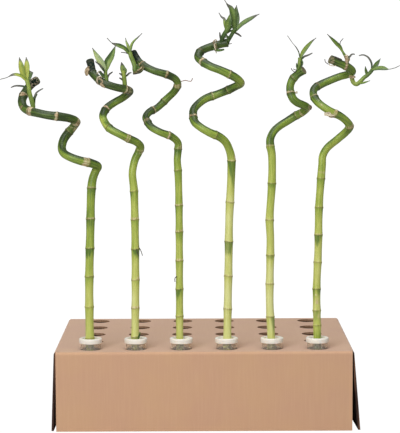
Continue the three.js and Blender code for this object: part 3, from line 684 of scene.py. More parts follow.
def painted_green(tree, streaks, depth, clouds, stops):
    """The green of living skin: the tone painted on it, made uneven by streaks and broad clouds."""
    tone = node(tree, "Attribute", {"attribute_name": "tone"}, "Fac")
    streaked = node(tree, "Math", {"operation": "MULTIPLY_ADD", 0: streaks, 1: depth, 2: -depth / 2})
    tone = node(tree, "Math", {"operation": "ADD", 0: streaked, 1: tone})
    drift = node(tree, "Math", {"operation": "MULTIPLY_ADD", 0: clouds, 1: 0.3, 2: -0.15})
    tone = node(tree, "Math", {"operation": "ADD", "use_clamp": True, 0: tone, 1: drift})
    green = node(tree, "ValToRGB", {0: tone})
    bar = green.node.color_ramp
    while len(bar.elements) < len(stops):
        bar.elements.new(0.5)
    for element, (at, code) in zip(bar.elements, stops):
        element.position = at
        element.color = linear(code)
    return green


def seal_colour(tree):
    """The dark coat on a sealed cane end, with pale dabs of about 3 mm where it has dried."""
    lay = node(tree, "Attribute", {"attribute_name": "lay"}, "Vector")
    crust = node(tree, "Attribute", {"attribute_name": "crust"}, "Fac")
    spots = node(tree, "TexNoise", {"Scale": 0.35, "Detail": 2, "Vector": lay})
    dabs = node(tree, "MapRange", {"From Min": 0.49, "From Max": 0.6, "Value": spots})
    dabs = node(tree, "Math", {"operation": "MULTIPLY", 0: dabs, 1: crust})
    return node(tree, "Mix", {"data_type": "RGBA", 0: dabs, 6: "#18281f", 7: "#b3a48b"}, 2)


# Cane skin: smooth, waxy and faintly streaked along its length, with a soft shine. Its patterns read
# the lay, a place in mm on the unwound cane: streaks are 1.4 mm wide and 33 mm long, blotches 6 by 14.
cane_skin, tree, shader = new_material(
    "cane_skin", Roughness=0.42, IOR=1.4, Coat_Weight=0.08, Coat_Roughness=0.25
)
lay = node(tree, "Attribute", {"attribute_name": "lay"}, "Vector")
stretched = node(tree, "Mapping", {"Scale": (0.7, 0.7, 0.03), "Vector": lay})
streaks = node(tree, "TexNoise", {"Scale": 1.0, "Detail": 4, "Roughness": 0.6, "Vector": stretched})
blotched = node(tree, "Mapping", {"Scale": (0.16, 0.16, 0.07), "Vector": lay})
blotches = node(tree, "TexNoise", {"Scale": 1.0, "Detail": 2, "Vector": blotched})
skin = painted_green(tree, streaks, 0.7, blotches, CANE_TONES)
uneven = node(tree, "MapRange", {"From Min": 0.35, "From Max": 0.6, "To Min": 0.55, "Value": streaks})
patch = node(tree, "Attribute", {"attribute_name": "patch"}, "Fac")
patched = node(tree, "Math", {"operation": "MULTIPLY", 0: uneven, 1: patch})
skin = node(tree, "Mix", {"data_type": "RGBA", 0: patched, 6: skin, 7: "#476b23"}, 2)
# The tan of scars and stains; on the outer side of two bends it is painted sheen.
flecked = node(tree, "MapRange", {"From Min": 0.4, "From Max": 0.6, "Value": streaks})
tan = node(tree, "Mix", {"data_type": "RGBA", 0: flecked, 6: "#e6d8b4", 7: "#b48f68"}, 2)
for mark, colour in (("scar_and_sheen", tan), ("line", "#6d5430"), ("wax", seal_colour(tree))):
    share = node(tree, "Attribute", {"attribute_name": mark}, "Fac")
    skin = node(tree, "Mix", {"data_type": "RGBA", 0: share, 6: skin, 7: colour}, 2)
tree.links.new(skin, shader.inputs["Base Color"])
bump = node(tree, "Bump", {"Strength": 0.25, "Distance": 0.3 * MM, "Height": streaks})
tree.links.new(bump, shader.inputs["Normal"])

# Sealing wax, brushed on the cut end of a cane: duller than the skin.
end_wax, tree, shader = new_material(
    "brushed_sealing_wax", Roughness=0.55, IOR=1.4, Specular_IOR_Level=0.12
)
tree.links.new(seal_colour(tree), shader.inputs["Base Color"])

# Cut face: dry fibres of about 1.5 mm, from dark brown to the paler pith.
cut_face, tree, shader = new_material("cut_cane", Roughness=0.8)
grain = node(tree, "TexNoise", {"Scale": 700, "Detail": 3, "Vector": node(tree, "TexCoord", output="Object")})
fibres = node(tree, "Mix", {"data_type": "RGBA", 0: grain, 6: "#2f291c", 7: "#8f8764"}, 2)
tree.links.new(fibres, shader.inputs["Base Color"])


def through(points, spacing):
    """Points an even spacing apart on a smooth line through the given ones."""
    given = [Vector(point) for point in points]
    given = [2 * given[0] - given[1], *given, 2 * given[-1] - given[-2]]
    fine = []
    for a, b, c, d in zip(given, given[1:], given[2:], given[3:]):
        before, here, after = [(q - p).length ** 0.5 for p, q in ((a, b), (b, c), (c, d))]
        leave = ((b - a) / before - (c - a) / (before + here) + (c - b) / here) * here
        arrive = ((c - b) / here - (d - b) / (here + after) + (d - c) / after) * here
        steps = max(4, int((c - b).length / 0.25))  # a quarter of a millimetre each
        for i in range(steps):
            t = i / steps
            fine.append(b * (2 * t**3 - 3 * t**2 + 1) + leave * (t**3 - 2 * t**2 + t)
                        + c * (3 * t**2 - 2 * t**3) + arrive * (t**3 - t**2))
    fine.append(given[-2])
    travelled = [0.0]
    for p, q in zip(fine, fine[1:]):
        travelled.append(travelled[-1] + (q - p).length)
    count = max(2, round(travelled[-1] / spacing))
    line, at = [], 0
    for i in range(count + 1):
        target = travelled[-1] * i / count
        while at < len(fine) - 2 and travelled[at + 1] < target:
            at += 1
        share = (target - travelled[at]) / (travelled[at + 1] - travelled[at])
        line.append(fine[at].lerp(fine[at + 1], min(1, share)))
    return line


def swept(name, line, radii, origin, sides):
    """A round tube of mesh along a line in mm, with a radius at every point and a cap at each end."""
    bpy.ops.object.select_all(action="DESELECT")
    bpy.ops.curve.primitive_nurbs_path_add(location=(0, 0, 0))
    piece = bpy.context.object
    piece.name = name
    curve = piece.data
    curve.splines.clear()
    spline = curve.splines.new("POLY")
    spline.points.add(len(line) - 1)
    for knot, point, radius in zip(spline.points, line, radii):
        knot.co = (*(origin + point * MM), 1)
        knot.radius = radius
    curve.twist_mode = "MINIMUM"
    curve.bevel_depth = MM
    curve.bevel_resolution = sides // 2 - 2  # gives that many sides
    curve.use_fill_caps = True
    bpy.ops.object.convert(target="MESH")
    edit(piece)
    bpy.ops.object.mode_set(mode="EDIT")
    bpy.ops.mesh.select_all(action="SELECT")
    bpy.ops.mesh.remove_doubles(threshold=1e-7)
    bpy.ops.mesh.normals_make_consistent(inside=False)
    bpy.ops.object.mode_set(mode="OBJECT")
    bpy.ops.object.shade_smooth_by_angle(angle=math.radians(50))
    return piece


def paint(mesh, **values):
    """Paints one number, or one vector, on each point of a mesh under each name."""
    for name, numbers in values.items():
        if isinstance(numbers[0], (int, float)):
            mesh.attributes.new(name, "FLOAT", "POINT").data.foreach_set("value", numbers)
        else:
            layer = mesh.attributes.new(name, "FLOAT_VECTOR", "POINT")
            layer.data.foreach_set("vector", [part for vector in numbers for part in vector])


def between(stops, at):
    """The value at a place between stops."""
    if at <= stops[0][0]:
        return stops[0][1]
    for (low, a), (high, b) in zip(stops, stops[1:]):
        if at <= high:
            return a + (b - a) * (at - low) / (high - low)
    return stops[-1][1]


def smooth(low, high, value):
    """Goes smoothly from 0 to 1 as a value passes from low to high."""
    share = max(0.0, min(1.0, (value - low) / (high - low)))
    return share * share * (3 - 2 * share)


def ripple(turn, seed):
    """An uneven number from 0 to 1 that closes on itself round the cane."""
    place = Vector((1.2 * math.cos(turn), 1.2 * math.sin(turn), seed))
    return max(0.0, min(1.0, 0.5 + 0.8 * noise.noise(place)))


def degrees_apart(bearing, towards):
    """How far two directions are apart, from 0 to 180 degrees."""
    return abs((bearing - towards + 180) % 360 - 180)


def origin_of(number):
    """Where a stalk's path starts: the middle of its vial on the floor."""
    middle = middle_of(f"tube_{number}")
    return Vector((middle.x, middle.y, 0))


def reached(line, height):
    """The number of the first point of a line at a height or over it."""
    return next(i for i, point in enumerate(line) if point.z >= height)


def cane_radius(along, marks, radius):
    """A joint of cane is slimmest in its middle, flares into the ring above it and steps in past it."""
    below = max(mark for mark in marks if mark <= along)
    above = min(mark for mark in marks if mark > along)
    share = (along - below) / (above - below)
    slim = radius * (1.01 - CANE_WAIST * math.sin(math.pi * share ** 0.85))
    flare = RING_FLARE * math.exp(-((above - along) / FLARE_LENGTH) ** 2)
    return slim + flare + RING_STEP * math.exp(-((along - below) / STEP_LENGTH) ** 2)


def ring_marks(stalk, marks, along, turn, bearing):
    """How much of a ring's tan band, brown groove and dark green patch shows at a place on the skin."""
    band, groove, patch = 0.0, 0.0, 0.0
    for mark, ring in zip(marks, stalk["rings"]):
        past = along - mark
        if abs(past) > RING_REACH:
            continue
        uneven = ripple(turn, ring)
        width, strength = stalk["bands"].get(ring, PLAIN_BAND)
        width *= 0.35 + 0.9 * uneven
        shown = smooth(-0.5, 0.3, past) * (1 - smooth(width - 0.5, width + 0.5, past))
        band = max(band, strength * shown * (0.45 + 0.6 * ripple(turn, ring + 9)))
        line = math.exp(-((past + GROOVE_BELOW) / GROOVE_WIDTH) ** 2)
        groove = max(groove, (0.35 + 0.45 * uneven) * line)
        for place, towards, half_angle, reach, depth in stalk["patches"]:
            ragged = reach * (0.7 + 0.7 * ripple(2 * turn, ring + 5))
            if place == ring and -ragged < past < 0:
                opening = half_angle * (1 + past / ragged) ** 0.8
                faded = depth * min(1, 1.3 * (1 + past / ragged) + 0.35)
                off = degrees_apart(bearing, towards)
                edge = smooth(opening - PATCH_INSIDE, opening + PATCH_OUTSIDE, off)
                patch = max(patch, faded * (1 - edge))
    return band, groove, patch


def stain_and_sheen_mark(stalk, spots, along, bearing, place):
    """How strongly the frayed tan marks show at a place on the skin: stains, and some painted sheen."""
    shown = 0.0
    for spot, (_, towards, half_angle, reach, depth) in zip(spots, stalk["stains_and_sheen"]):
        off = degrees_apart(bearing, towards) / half_angle
        frayed = math.hypot(off, (along - spot) / reach) + 0.7 * noise.noise(place / (TATTER * MM))
        shown = max(shown, depth * (1 - smooth(0.6, 1.1, frayed)))
    return shown


def cane_tone(stalk, marks, length, along, height, out):
    """The tone of the skin: it deepens towards the next ring, and painted shade darkens it in places."""
    start = max([0, *(mark for mark in marks if mark <= along)])
    finish = min([length, *(mark for mark in marks if mark > along)])
    tone = between(stalk["tones"], height) + 0.13 * smooth(0.5, 1, (along - start) / (finish - start + 0.01))
    # Painted shade: the cane is painted darker inside its vial, below the vial's mouth.
    tone += 0.25 * (1 - smooth(*VIAL_MOUTH, height))
    # Painted shade: faces that look up are painted darker, and faces that look down a little darker.
    painted_up_down_shade = smooth(0.25, 0.85, out.z) - 0.35 * smooth(0.4, 0.9, -out.z)
    return tone + 0.3 * max(0.0, painted_up_down_shade) - 0.1 * min(0.0, painted_up_down_shade)


for number, stalk in enumerate(STALKS, 1):
    origin = origin_of(number)
    line = through(stalk["path"], CANE_SPACING)
    step = (line[1] - line[0]).length
    length = (len(line) - 1) * step
    marks = [reached(line, ring) * step for ring in stalk["rings"]]
    spots = [reached(line, stain_and_sheen[0]) * step for stain_and_sheen in stalk["stains_and_sheen"]]
    radii = [cane_radius(i * step, [0, *marks, length + step], stalk["radius"]) for i in range(len(line))]
    rounding = stalk["rounded"]
    for i in range(len(line)):
        short = rounding - (len(line) - 1 - i) * step
        if short > 0:
            radii[i] -= 0.8 * (rounding - math.sqrt(rounding ** 2 - min(short, 0.97 * rounding) ** 2))
    cane = swept(f"cane_{number}", line, radii, origin, CANE_SIDES)
    mesh = cane.data
    painting = {layer: [] for layer in ("tone", "scar_and_sheen", "line", "patch", "wax", "crust", "lay")}
    for vertex in mesh.vertices:
        station = min(vertex.index // CANE_SIDES, len(line) - 1)
        along, height = station * step, line[station].z
        out = (vertex.co - origin - line[station] * MM).normalized()
        turn = vertex.index % CANE_SIDES * 2 * math.pi / CANE_SIDES
        bearing = math.degrees(math.atan2(out.x, -out.y))
        band, groove, patch = ring_marks(stalk, marks, along, turn, bearing)
        stain_and_sheen = stain_and_sheen_mark(stalk, spots, along, bearing, vertex.co)
        ragged = WAX_RAGGED * (ripple(turn, 3 * number) - 0.5)
        wax = smooth(*WAX_THINS, stalk["wax"] - (length - along) + ragged) if stalk["wax"] else 0.0
        lay_x, lay_y = stalk["radius"] * math.cos(turn), stalk["radius"] * math.sin(turn)
        painting["tone"].append(cane_tone(stalk, marks, length, along, height, out))
        painting["scar_and_sheen"].append(min(1.0, max(band, stain_and_sheen)))
        painting["line"].append(groove)
        painting["patch"].append(patch)
        painting["wax"].append(wax)
        painting["crust"].append(stalk["crust"])
        painting["lay"].append((lay_x + 50 * number, lay_y, along))  # each cane has its own pattern
    paint(mesh, **painting)
    for material in (cane_skin, cut_face, end_wax):
        mesh.materials.append(material)
    edit(cane)
    top = origin + line[-1] * MM
    for face in mesh.polygons:
        if min(painting["wax"][i] for i in face.vertices) > 0.95:
            face.material_index = FACE_WAXED
        if len(face.vertices) != 4 and (face.center - top).length < 8 * MM:  # the cap on the cut end
            face.select = True
            face.material_index = FACE_CUT
    bpy.ops.object.mode_set(mode="EDIT")
    bpy.ops.mesh.inset(thickness=RIM_WIDTH, depth=-RIM_DEPTH)
    bpy.ops.object.mode_set(mode="OBJECT")
    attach(cane, "root")
    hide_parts(f"stalk_{number}")

# Shoots. Each is a young side shoot that grew from a ring: a soft green stem wrapped in the bases of
# its leaves, a few folded blades that end in thin grey tails, and narrow straps of dried leaf.
STEM_SIDES, STEM_SPACING = 16, 0.8  # faces round a stem, and mm between its points
LEAF_SPANS, LEAF_SPACING = 8, 1.1  # faces across a blade, and mm between its points
LEAF_THICKNESS = 0.5
LEAF_BASE = 0.4  # width at the foot of a blade, as a share of its widest
LEAF_TAIL = 0.45  # half width of the tail, mm
LEAF_FOLD = 0.28  # how far the edges stand up from the midrib, as a share of the half width
LEAF_ARCH = 0.25  # how far the midrib bows up in the middle of the blade, likewise
EDGE_TONE, MIDRIB_TONE, TIP_TONE = 0.22, -0.1, 0.15  # how much darker each is than the blade
DRY_FADE = 0.12  # share of a blade's length over which its green turns grey
STRAP = dict(width=2.6, body=1.3, tone=0.95, dry=0.4)  # blunt, dark and mostly dry

# A stem has its radius and tone at its foot and at its tip. A leaf has its path and width in mm, and
# as shares of its length where it is widest (peak), where it has narrowed to its tail (body) and where
# it turns grey (dry). tone is how dark its green is, painted_half_shade how much darker one half of
# the folded blade is painted than the other, as painted light and shade, pale how much pale grey-green
# lies over the lower part of the blade, and face the way that its upper side looks.
TO_VIEWER, UPWARD, TILTED = (0, -1, 0.25), (0, -0.4, 1), (0, -1, 0.7)
SHOOTS = {
    "shoot_1": dict(
        stalk=1, radii=(3.3, 2.8), tones=(0.6, 0.32),
        stem=[
            (-76, -12, 431), (-73, -11, 437), (-74, -12, 443), (-77, -13, 455), (-79, -12, 466),
            (-81, -11, 473),
        ],
        leaves=[
            dict(path=[(-81, -11, 471), (-85, -13, 479), (-88, -16, 494), (-90, -15, 503)],
                 width=7.5, peak=0.55, tone=0.22, dry=0.85),
            dict(path=[(-81, -11, 471), (-81, -9, 480), (-81, -5, 494), (-82, -3, 503)],
                 width=7.5, peak=0.55, tone=0.12, dry=0.85),
            dict(path=[(-81, -12, 471), (-88, -17, 478), (-97, -22, 480), (-107, -25, 476),
                       (-115, -24, 474)],
                 width=5, body=0.75, face=TILTED, tone=0.25, dry=0.5),
            dict(path=[(-80, -11, 468), (-79, -9, 474), (-77, -7, 480), (-75, -6, 484)],
                 width=7.5, peak=0.65, body=1.5, tone=0.62),
        ],
        straps=[
            [(-75, -12, 440), (-71, -8, 450), (-69, -5, 455), (-64, -2, 459), (-60, 0, 461)],
            [(-78, -13, 463), (-89, -18, 465), (-96, -20, 465), (-101, -22, 463)],
        ],
    ),
    "shoot_2a": dict(
        stalk=2, radii=(2.9, 2.4), tones=(0.62, 0.45),
        stem=[(-36, -15, 466), (-36, -15, 474), (-37, -15, 479), (-37, -16, 486)],
        leaves=[
            dict(path=[(-37, -16, 483), (-42, -19, 494), (-48, -21, 504), (-54, -22, 515)],
                 width=8.6, tone=0.3, pale=0.55, painted_half_shade=0.16),
            dict(path=[(-37, -15, 484), (-34, -13, 496), (-30, -10, 503), (-27, -7, 510), (-24, -4, 518)],
                 width=9.6, tone=0.64, painted_half_shade=-0.12),
            dict(path=[(-37, -16, 475), (-42, -18, 480), (-45, -19, 484)],
                 width=4.5, body=1.4, tone=0.85),
        ],
        straps=[
            [(-37, -17, 481), (-43, -21, 491), (-50, -24, 497)],
            [(-36, -14, 471), (-33, -9, 479), (-28, -6, 483)],
        ],
    ),
    "shoot_2b": dict(
        stalk=2, radii=(3.1, 2.9), tones=(0.55, 0.32),
        stem=[(-12, -8, 459), (-12, -9, 468), (-13, -10, 478), (-14, -10, 485)],
        leaves=[
            dict(path=[(-13, -10, 479), (-14, -11, 486), (-16, -13, 496)],
                 width=7.2, peak=0.45, tone=0.5, pale=0.1, dry=0.75),
            dict(path=[(-14, -11, 489), (-12, -11, 487), (-10.5, -11, 484), (-10, -11, 480.5)],
                 width=4.4, peak=0.45, tone=0.6),
        ],
        straps=[
            [(-12, -9, 476), (-8, -7, 479), (-6, -6, 481), (-3, -5, 482)],
            [(-13, -10, 477), (-17, -13, 480), (-19, -15, 481)],
            [(-13, -9, 471), (-17, -12, 474), (-19, -14, 475)],
        ],
    ),
    "shoot_3": dict(
        stalk=3, radii=(3.5, 2.8), tones=(0.8, 0.46),
        stem=[
            (-49, -11, 490), (-54, -14, 484), (-59, -16, 484), (-60, -15, 491), (-62, -14, 497),
            (-65, -14, 504), (-66, -13, 509),
        ],
        leaves=[
            dict(path=[(-66, -13, 506), (-73, -16, 514), (-79, -18, 517), (-89, -21, 521),
                       (-96, -22, 528)],
                 width=6.6, body=0.8, face=TILTED, peak=0.45, tone=0.66, dry=0.6),
            dict(path=[(-66, -13, 507), (-69, -10, 518), (-71, -8, 523), (-72, -7, 528)],
                 width=4, tone=0.45),
            dict(path=[(-66, -13, 506), (-64, -10, 518), (-61, -8, 523), (-56, -5, 528), (-50, -1, 534)],
                 width=4, face=UPWARD, tone=0.55, dry=0.7),
        ],
        straps=[],
    ),
    "shoot_4a": dict(
        stalk=4, radii=(3, 3), tones=(0.95, 0.6),
        stem=[(-6, 14, 519), (-5, 11, 525), (-3, 8, 530), (1, 6, 537), (4, 5, 543)],
        leaves=[
            dict(path=[(2, 5, 537), (3, 3, 545), (5, 1, 552), (6, 2, 560)],
                 width=9, tone=0.6, painted_half_shade=0.08),
            dict(path=[(1, 6, 536), (-1, 9, 547), (-2, 11, 553), (-5, 12, 555), (-9, 13, 561)],
                 width=4.2, tone=0.5, dry=0.55),
        ],
        straps=[[(-5, 12, 523), (-7, 9, 528), (-8, 8, 535)]],
    ),
    "shoot_4b": dict(
        stalk=4, radii=(2.8, 2.4), tones=(0.98, 0.65),
        stem=[(2, 14, 519), (3, 13, 523), (6, 12, 528), (9, 11, 533), (12, 10, 538)],
        leaves=[
            dict(path=[(12, 10, 536), (15, 13, 551), (14, 16, 562), (15, 17, 571)],
                 width=8, peak=0.6, tone=0.68, painted_half_shade=0.05),
            dict(path=[(12, 10, 536), (10, 8, 551), (9, 7, 562), (7, 7, 567), (3, 7, 571), (-2, 8, 579)],
                 width=8, peak=0.5, body=0.9, tone=0.64, dry=0.7, painted_half_shade=-0.05),
            dict(path=[(12, 10, 535), (20, 6, 544), (27, 3, 549), (34, 1, 553), (39, 0, 556),
                       (45, -1, 559)],
                 width=7, face=TILTED, peak=0.5, tone=0.68, pale=0.12, dry=0.78, painted_half_shade=0.08),
        ],
        straps=[[(11, 10, 535), (17, 6, 532), (21, 5, 529)]],
    ),
    "shoot_5": dict(
        stalk=5, radii=(3, 2.8), tones=(0.7, 0.42),
        stem=[(34, -9, 478), (35, -11, 485), (36, -12, 491), (37, -12, 497), (37, -12, 501)],
        leaves=[
            dict(path=[(37, -12, 499), (35, -14, 508), (31, -15, 515), (27, -16, 520), (20, -17, 530)],
                 width=2.4, body=0.7, face=UPWARD, tone=0.65, dry=0.3),
            dict(path=[(37, -12, 499), (40, -10, 506), (44, -8, 512), (49, -6, 518), (54, -4, 523),
                       (59, -3, 527)],
                 width=5.6, tone=0.5, dry=0.8),
            dict(path=[(35, -12, 485), (33, -14, 489), (32, -15, 494)], width=3.2, tone=0.75),
            dict(path=[(37, -14, 499), (39.5, -14, 495), (39, -14, 490), (36.5, -13, 487)],
                 width=3.4, tone=0.85),
        ],
        straps=[[(37, -12, 496), (42, -16, 502), (47, -19, 504), (53, -21, 507)]],
    ),
    "shoot_6a": dict(
        stalk=6, radii=(3.1, 1.3), tones=(0.6, 0.5),
        stem=[(37, -11, 489), (38, -12, 496), (36, -12, 502), (33, -13, 507), (31, -13, 511)],
        leaves=[
            dict(path=[(32, -13, 508), (29, -14, 514), (24, -16, 519), (19, -18, 524), (11, -20, 532)],
                 width=5.2, tone=0.55, dry=0.8),
        ],
        straps=[[(37, -12, 497), (42, -9, 502), (45, -7, 505), (49, -6, 505)]],
    ),
    "shoot_6b": dict(
        stalk=6, radii=(3.1, 2.5), tones=(0.12, 0.72),
        stem=[
            (45, 2, 480), (46, 2, 472), (48, 1, 467), (52, 0, 465), (58, -1, 470), (62, -1, 474),
            (66, -2, 477), (70, -3, 481), (73, -4, 485),
        ],
        leaves=[
            dict(path=[(52, 0, 465), (56, -4, 466), (61, -7, 467), (69, -11, 470)],
                 width=3.4, face=TILTED, tone=0.6),
            dict(path=[(73, -4, 484), (78, -1, 491), (81, 1, 495), (84, 3, 499)], width=6, tone=0.74),
            dict(path=[(72, -4, 484), (80, -7, 486), (86, -10, 486), (93, -12, 485), (102, -14, 487),
                       (108, -15, 490)],
                 width=7, body=0.62, face=TILTED, tone=0.66, dry=0.6),
            dict(path=[(66, -2, 477), (64, -4, 483), (63, -5, 489)], width=4, tone=0.7),
        ],
        straps=[
            [
                (71, -3, 482), (72, -1, 491), (70, 0, 497), (67, 1, 501), (64, 2, 503), (60, 3, 504),
                (55, 3, 503),
            ],
        ],
    ),
}
LEAF_TONES = [(0, "#b9bf52"), (0.25, "#99a748"), (0.5, "#70883a"), (0.75, "#48632c"), (1, "#2a3b24")]

# Leaf skin: fresh green, satin, with fine veins along the blade and a paler midrib. Its patterns read
# the lay, a place in mm on the flat blade: veins are 0.8 mm wide and 25 mm long, clouds 6 mm.
leaf_skin, tree, shader = new_material("leaf_skin", Roughness=0.42, IOR=1.45)
lay = node(tree, "Attribute", {"attribute_name": "lay"}, "Vector")
stretched = node(tree, "Mapping", {"Scale": (1.3, 1.3, 0.04), "Vector": lay})
veins = node(tree, "TexNoise", {"Scale": 1.0, "Detail": 3, "Vector": stretched})
clouds = node(tree, "TexNoise", {"Scale": 0.18, "Detail": 2, "Vector": lay})
green = painted_green(tree, veins, 0.26, clouds, LEAF_TONES)
for mark, colour in (("pale", "#b9caa0"), ("dry", "#56564c")):
    share = node(tree, "Attribute", {"attribute_name": mark}, "Fac")
    green = node(tree, "Mix", {"data_type": "RGBA", 0: share, 6: green, 7: colour}, 2)
tree.links.new(green, shader.inputs["Base Color"])
bump = node(tree, "Bump", {"Strength": 0.3, "Distance": 0.2 * MM, "Height": veins})
tree.links.new(bump, shader.inputs["Normal"])


def leaf_blade(name, origin, path, width, face=TO_VIEWER, peak=0.36, body=1.0, tone=0.5, dry=0.9,
               pale=0.0, painted_half_shade=0.1):
    """A grid laid along a path as a folded blade, painted with its greens and given its thickness."""
    line = through(path, LEAF_SPACING)
    bpy.ops.object.select_all(action="DESELECT")
    bpy.ops.mesh.primitive_grid_add(x_subdivisions=LEAF_SPANS, y_subdivisions=len(line) - 1, size=2)
    blade = bpy.context.object
    blade.name = name
    painting = {layer: [] for layer in ("tone", "pale", "dry", "lay")}
    for vertex in blade.data.vertices:
        v, u = vertex.co.x, (vertex.co.y + 1) / 2  # across, from -1 to 1, and along, from 0 to 1
        i = round(u * (len(line) - 1))
        along = (line[min(i + 1, len(line) - 1)] - line[max(i - 1, 0)]).normalized()
        up = Vector(face)
        up = (up - along * up.dot(along)).normalized()
        across = along.cross(up)
        rise = LEAF_BASE + (1 - LEAF_BASE) * math.sin(math.pi / 2 * min(1, u / peak))
        run = max(0, min(1, (u - peak) / (body - peak)))
        half = max(LEAF_TAIL, width / 2 * rise * math.cos(math.pi / 2 * run))
        lift = half * LEAF_FOLD * abs(v) ** 1.4 + LEAF_ARCH * half * (1 - abs(v)) * u * (1 - u)
        vertex.co = origin + (line[i] + across * (half * v) + up * lift) * MM
        # Painted light and shade: one half of the folded blade is painted darker than the other.
        painted_halves = painted_half_shade * (1 if v > 0.1 else -1 if v < -0.1 else 0)
        at_edge, at_midrib = abs(v) > 0.9, max(0, 1 - abs(v) * 6)
        shaded = EDGE_TONE * at_edge + MIDRIB_TONE * at_midrib + TIP_TONE * (u - 0.4)
        painting["tone"].append(tone + painted_halves + shaded)
        painting["pale"].append(pale * min(1, 3 * (1 - u)) * (1 - 0.6 * at_edge))
        painting["dry"].append(max(0.0, min(1.0, (u - dry + DRY_FADE / 2) / DRY_FADE)))
        painting["lay"].append(
            (half * v + 40 * tone + line[0].x, 10.0 * width, u * len(line) * LEAF_SPACING)
        )
    paint(blade.data, **painting)
    blade.data.materials.append(leaf_skin)
    apply_modifier(blade, "SOLIDIFY", thickness=LEAF_THICKNESS * MM, offset=0)
    bpy.ops.object.shade_smooth_by_angle(angle=math.radians(50))
    return blade


def shoot_stem(name, shoot, origin):
    """The round green stem of a shoot, painted from the tone of its foot to that of its tip."""
    line = through(shoot["stem"], STEM_SPACING)
    foot, tip = shoot["radii"]
    shares = [i / (len(line) - 1) for i in range(len(line))]
    stem = swept(f"{name}_stem", line, [foot + (tip - foot) * share for share in shares], origin, STEM_SIDES)
    foot, tip = shoot["tones"]
    painting = {layer: [] for layer in ("tone", "pale", "dry", "lay")}
    for vertex in stem.data.vertices:
        share = shares[min(vertex.index // STEM_SIDES, len(line) - 1)]
        turn = vertex.index % STEM_SIDES * 2 * math.pi / STEM_SIDES
        along = share * len(line) * STEM_SPACING
        painting["tone"].append(foot + (tip - foot) * share)
        painting["pale"].append(0.0)
        painting["dry"].append(0.0)
        painting["lay"].append((2.4 * math.cos(turn), 2.4 * math.sin(turn) + 9 * len(name), along))
    paint(stem.data, **painting)
    stem.data.materials.append(leaf_skin)
    return stem


for name, shoot in SHOOTS.items():
    origin = origin_of(shoot["stalk"])
    pieces = [shoot_stem(name, shoot, origin)]
    pieces += [leaf_blade(f"{name}_leaf", origin, **leaf) for leaf in shoot["leaves"]]
    pieces += [leaf_blade(f"{name}_strap", origin, path, **STRAP) for path in shoot["straps"]]
    sprout = join(name.replace("shoot", "sprout"), pieces)
    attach(sprout, "root")
    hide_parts(name)
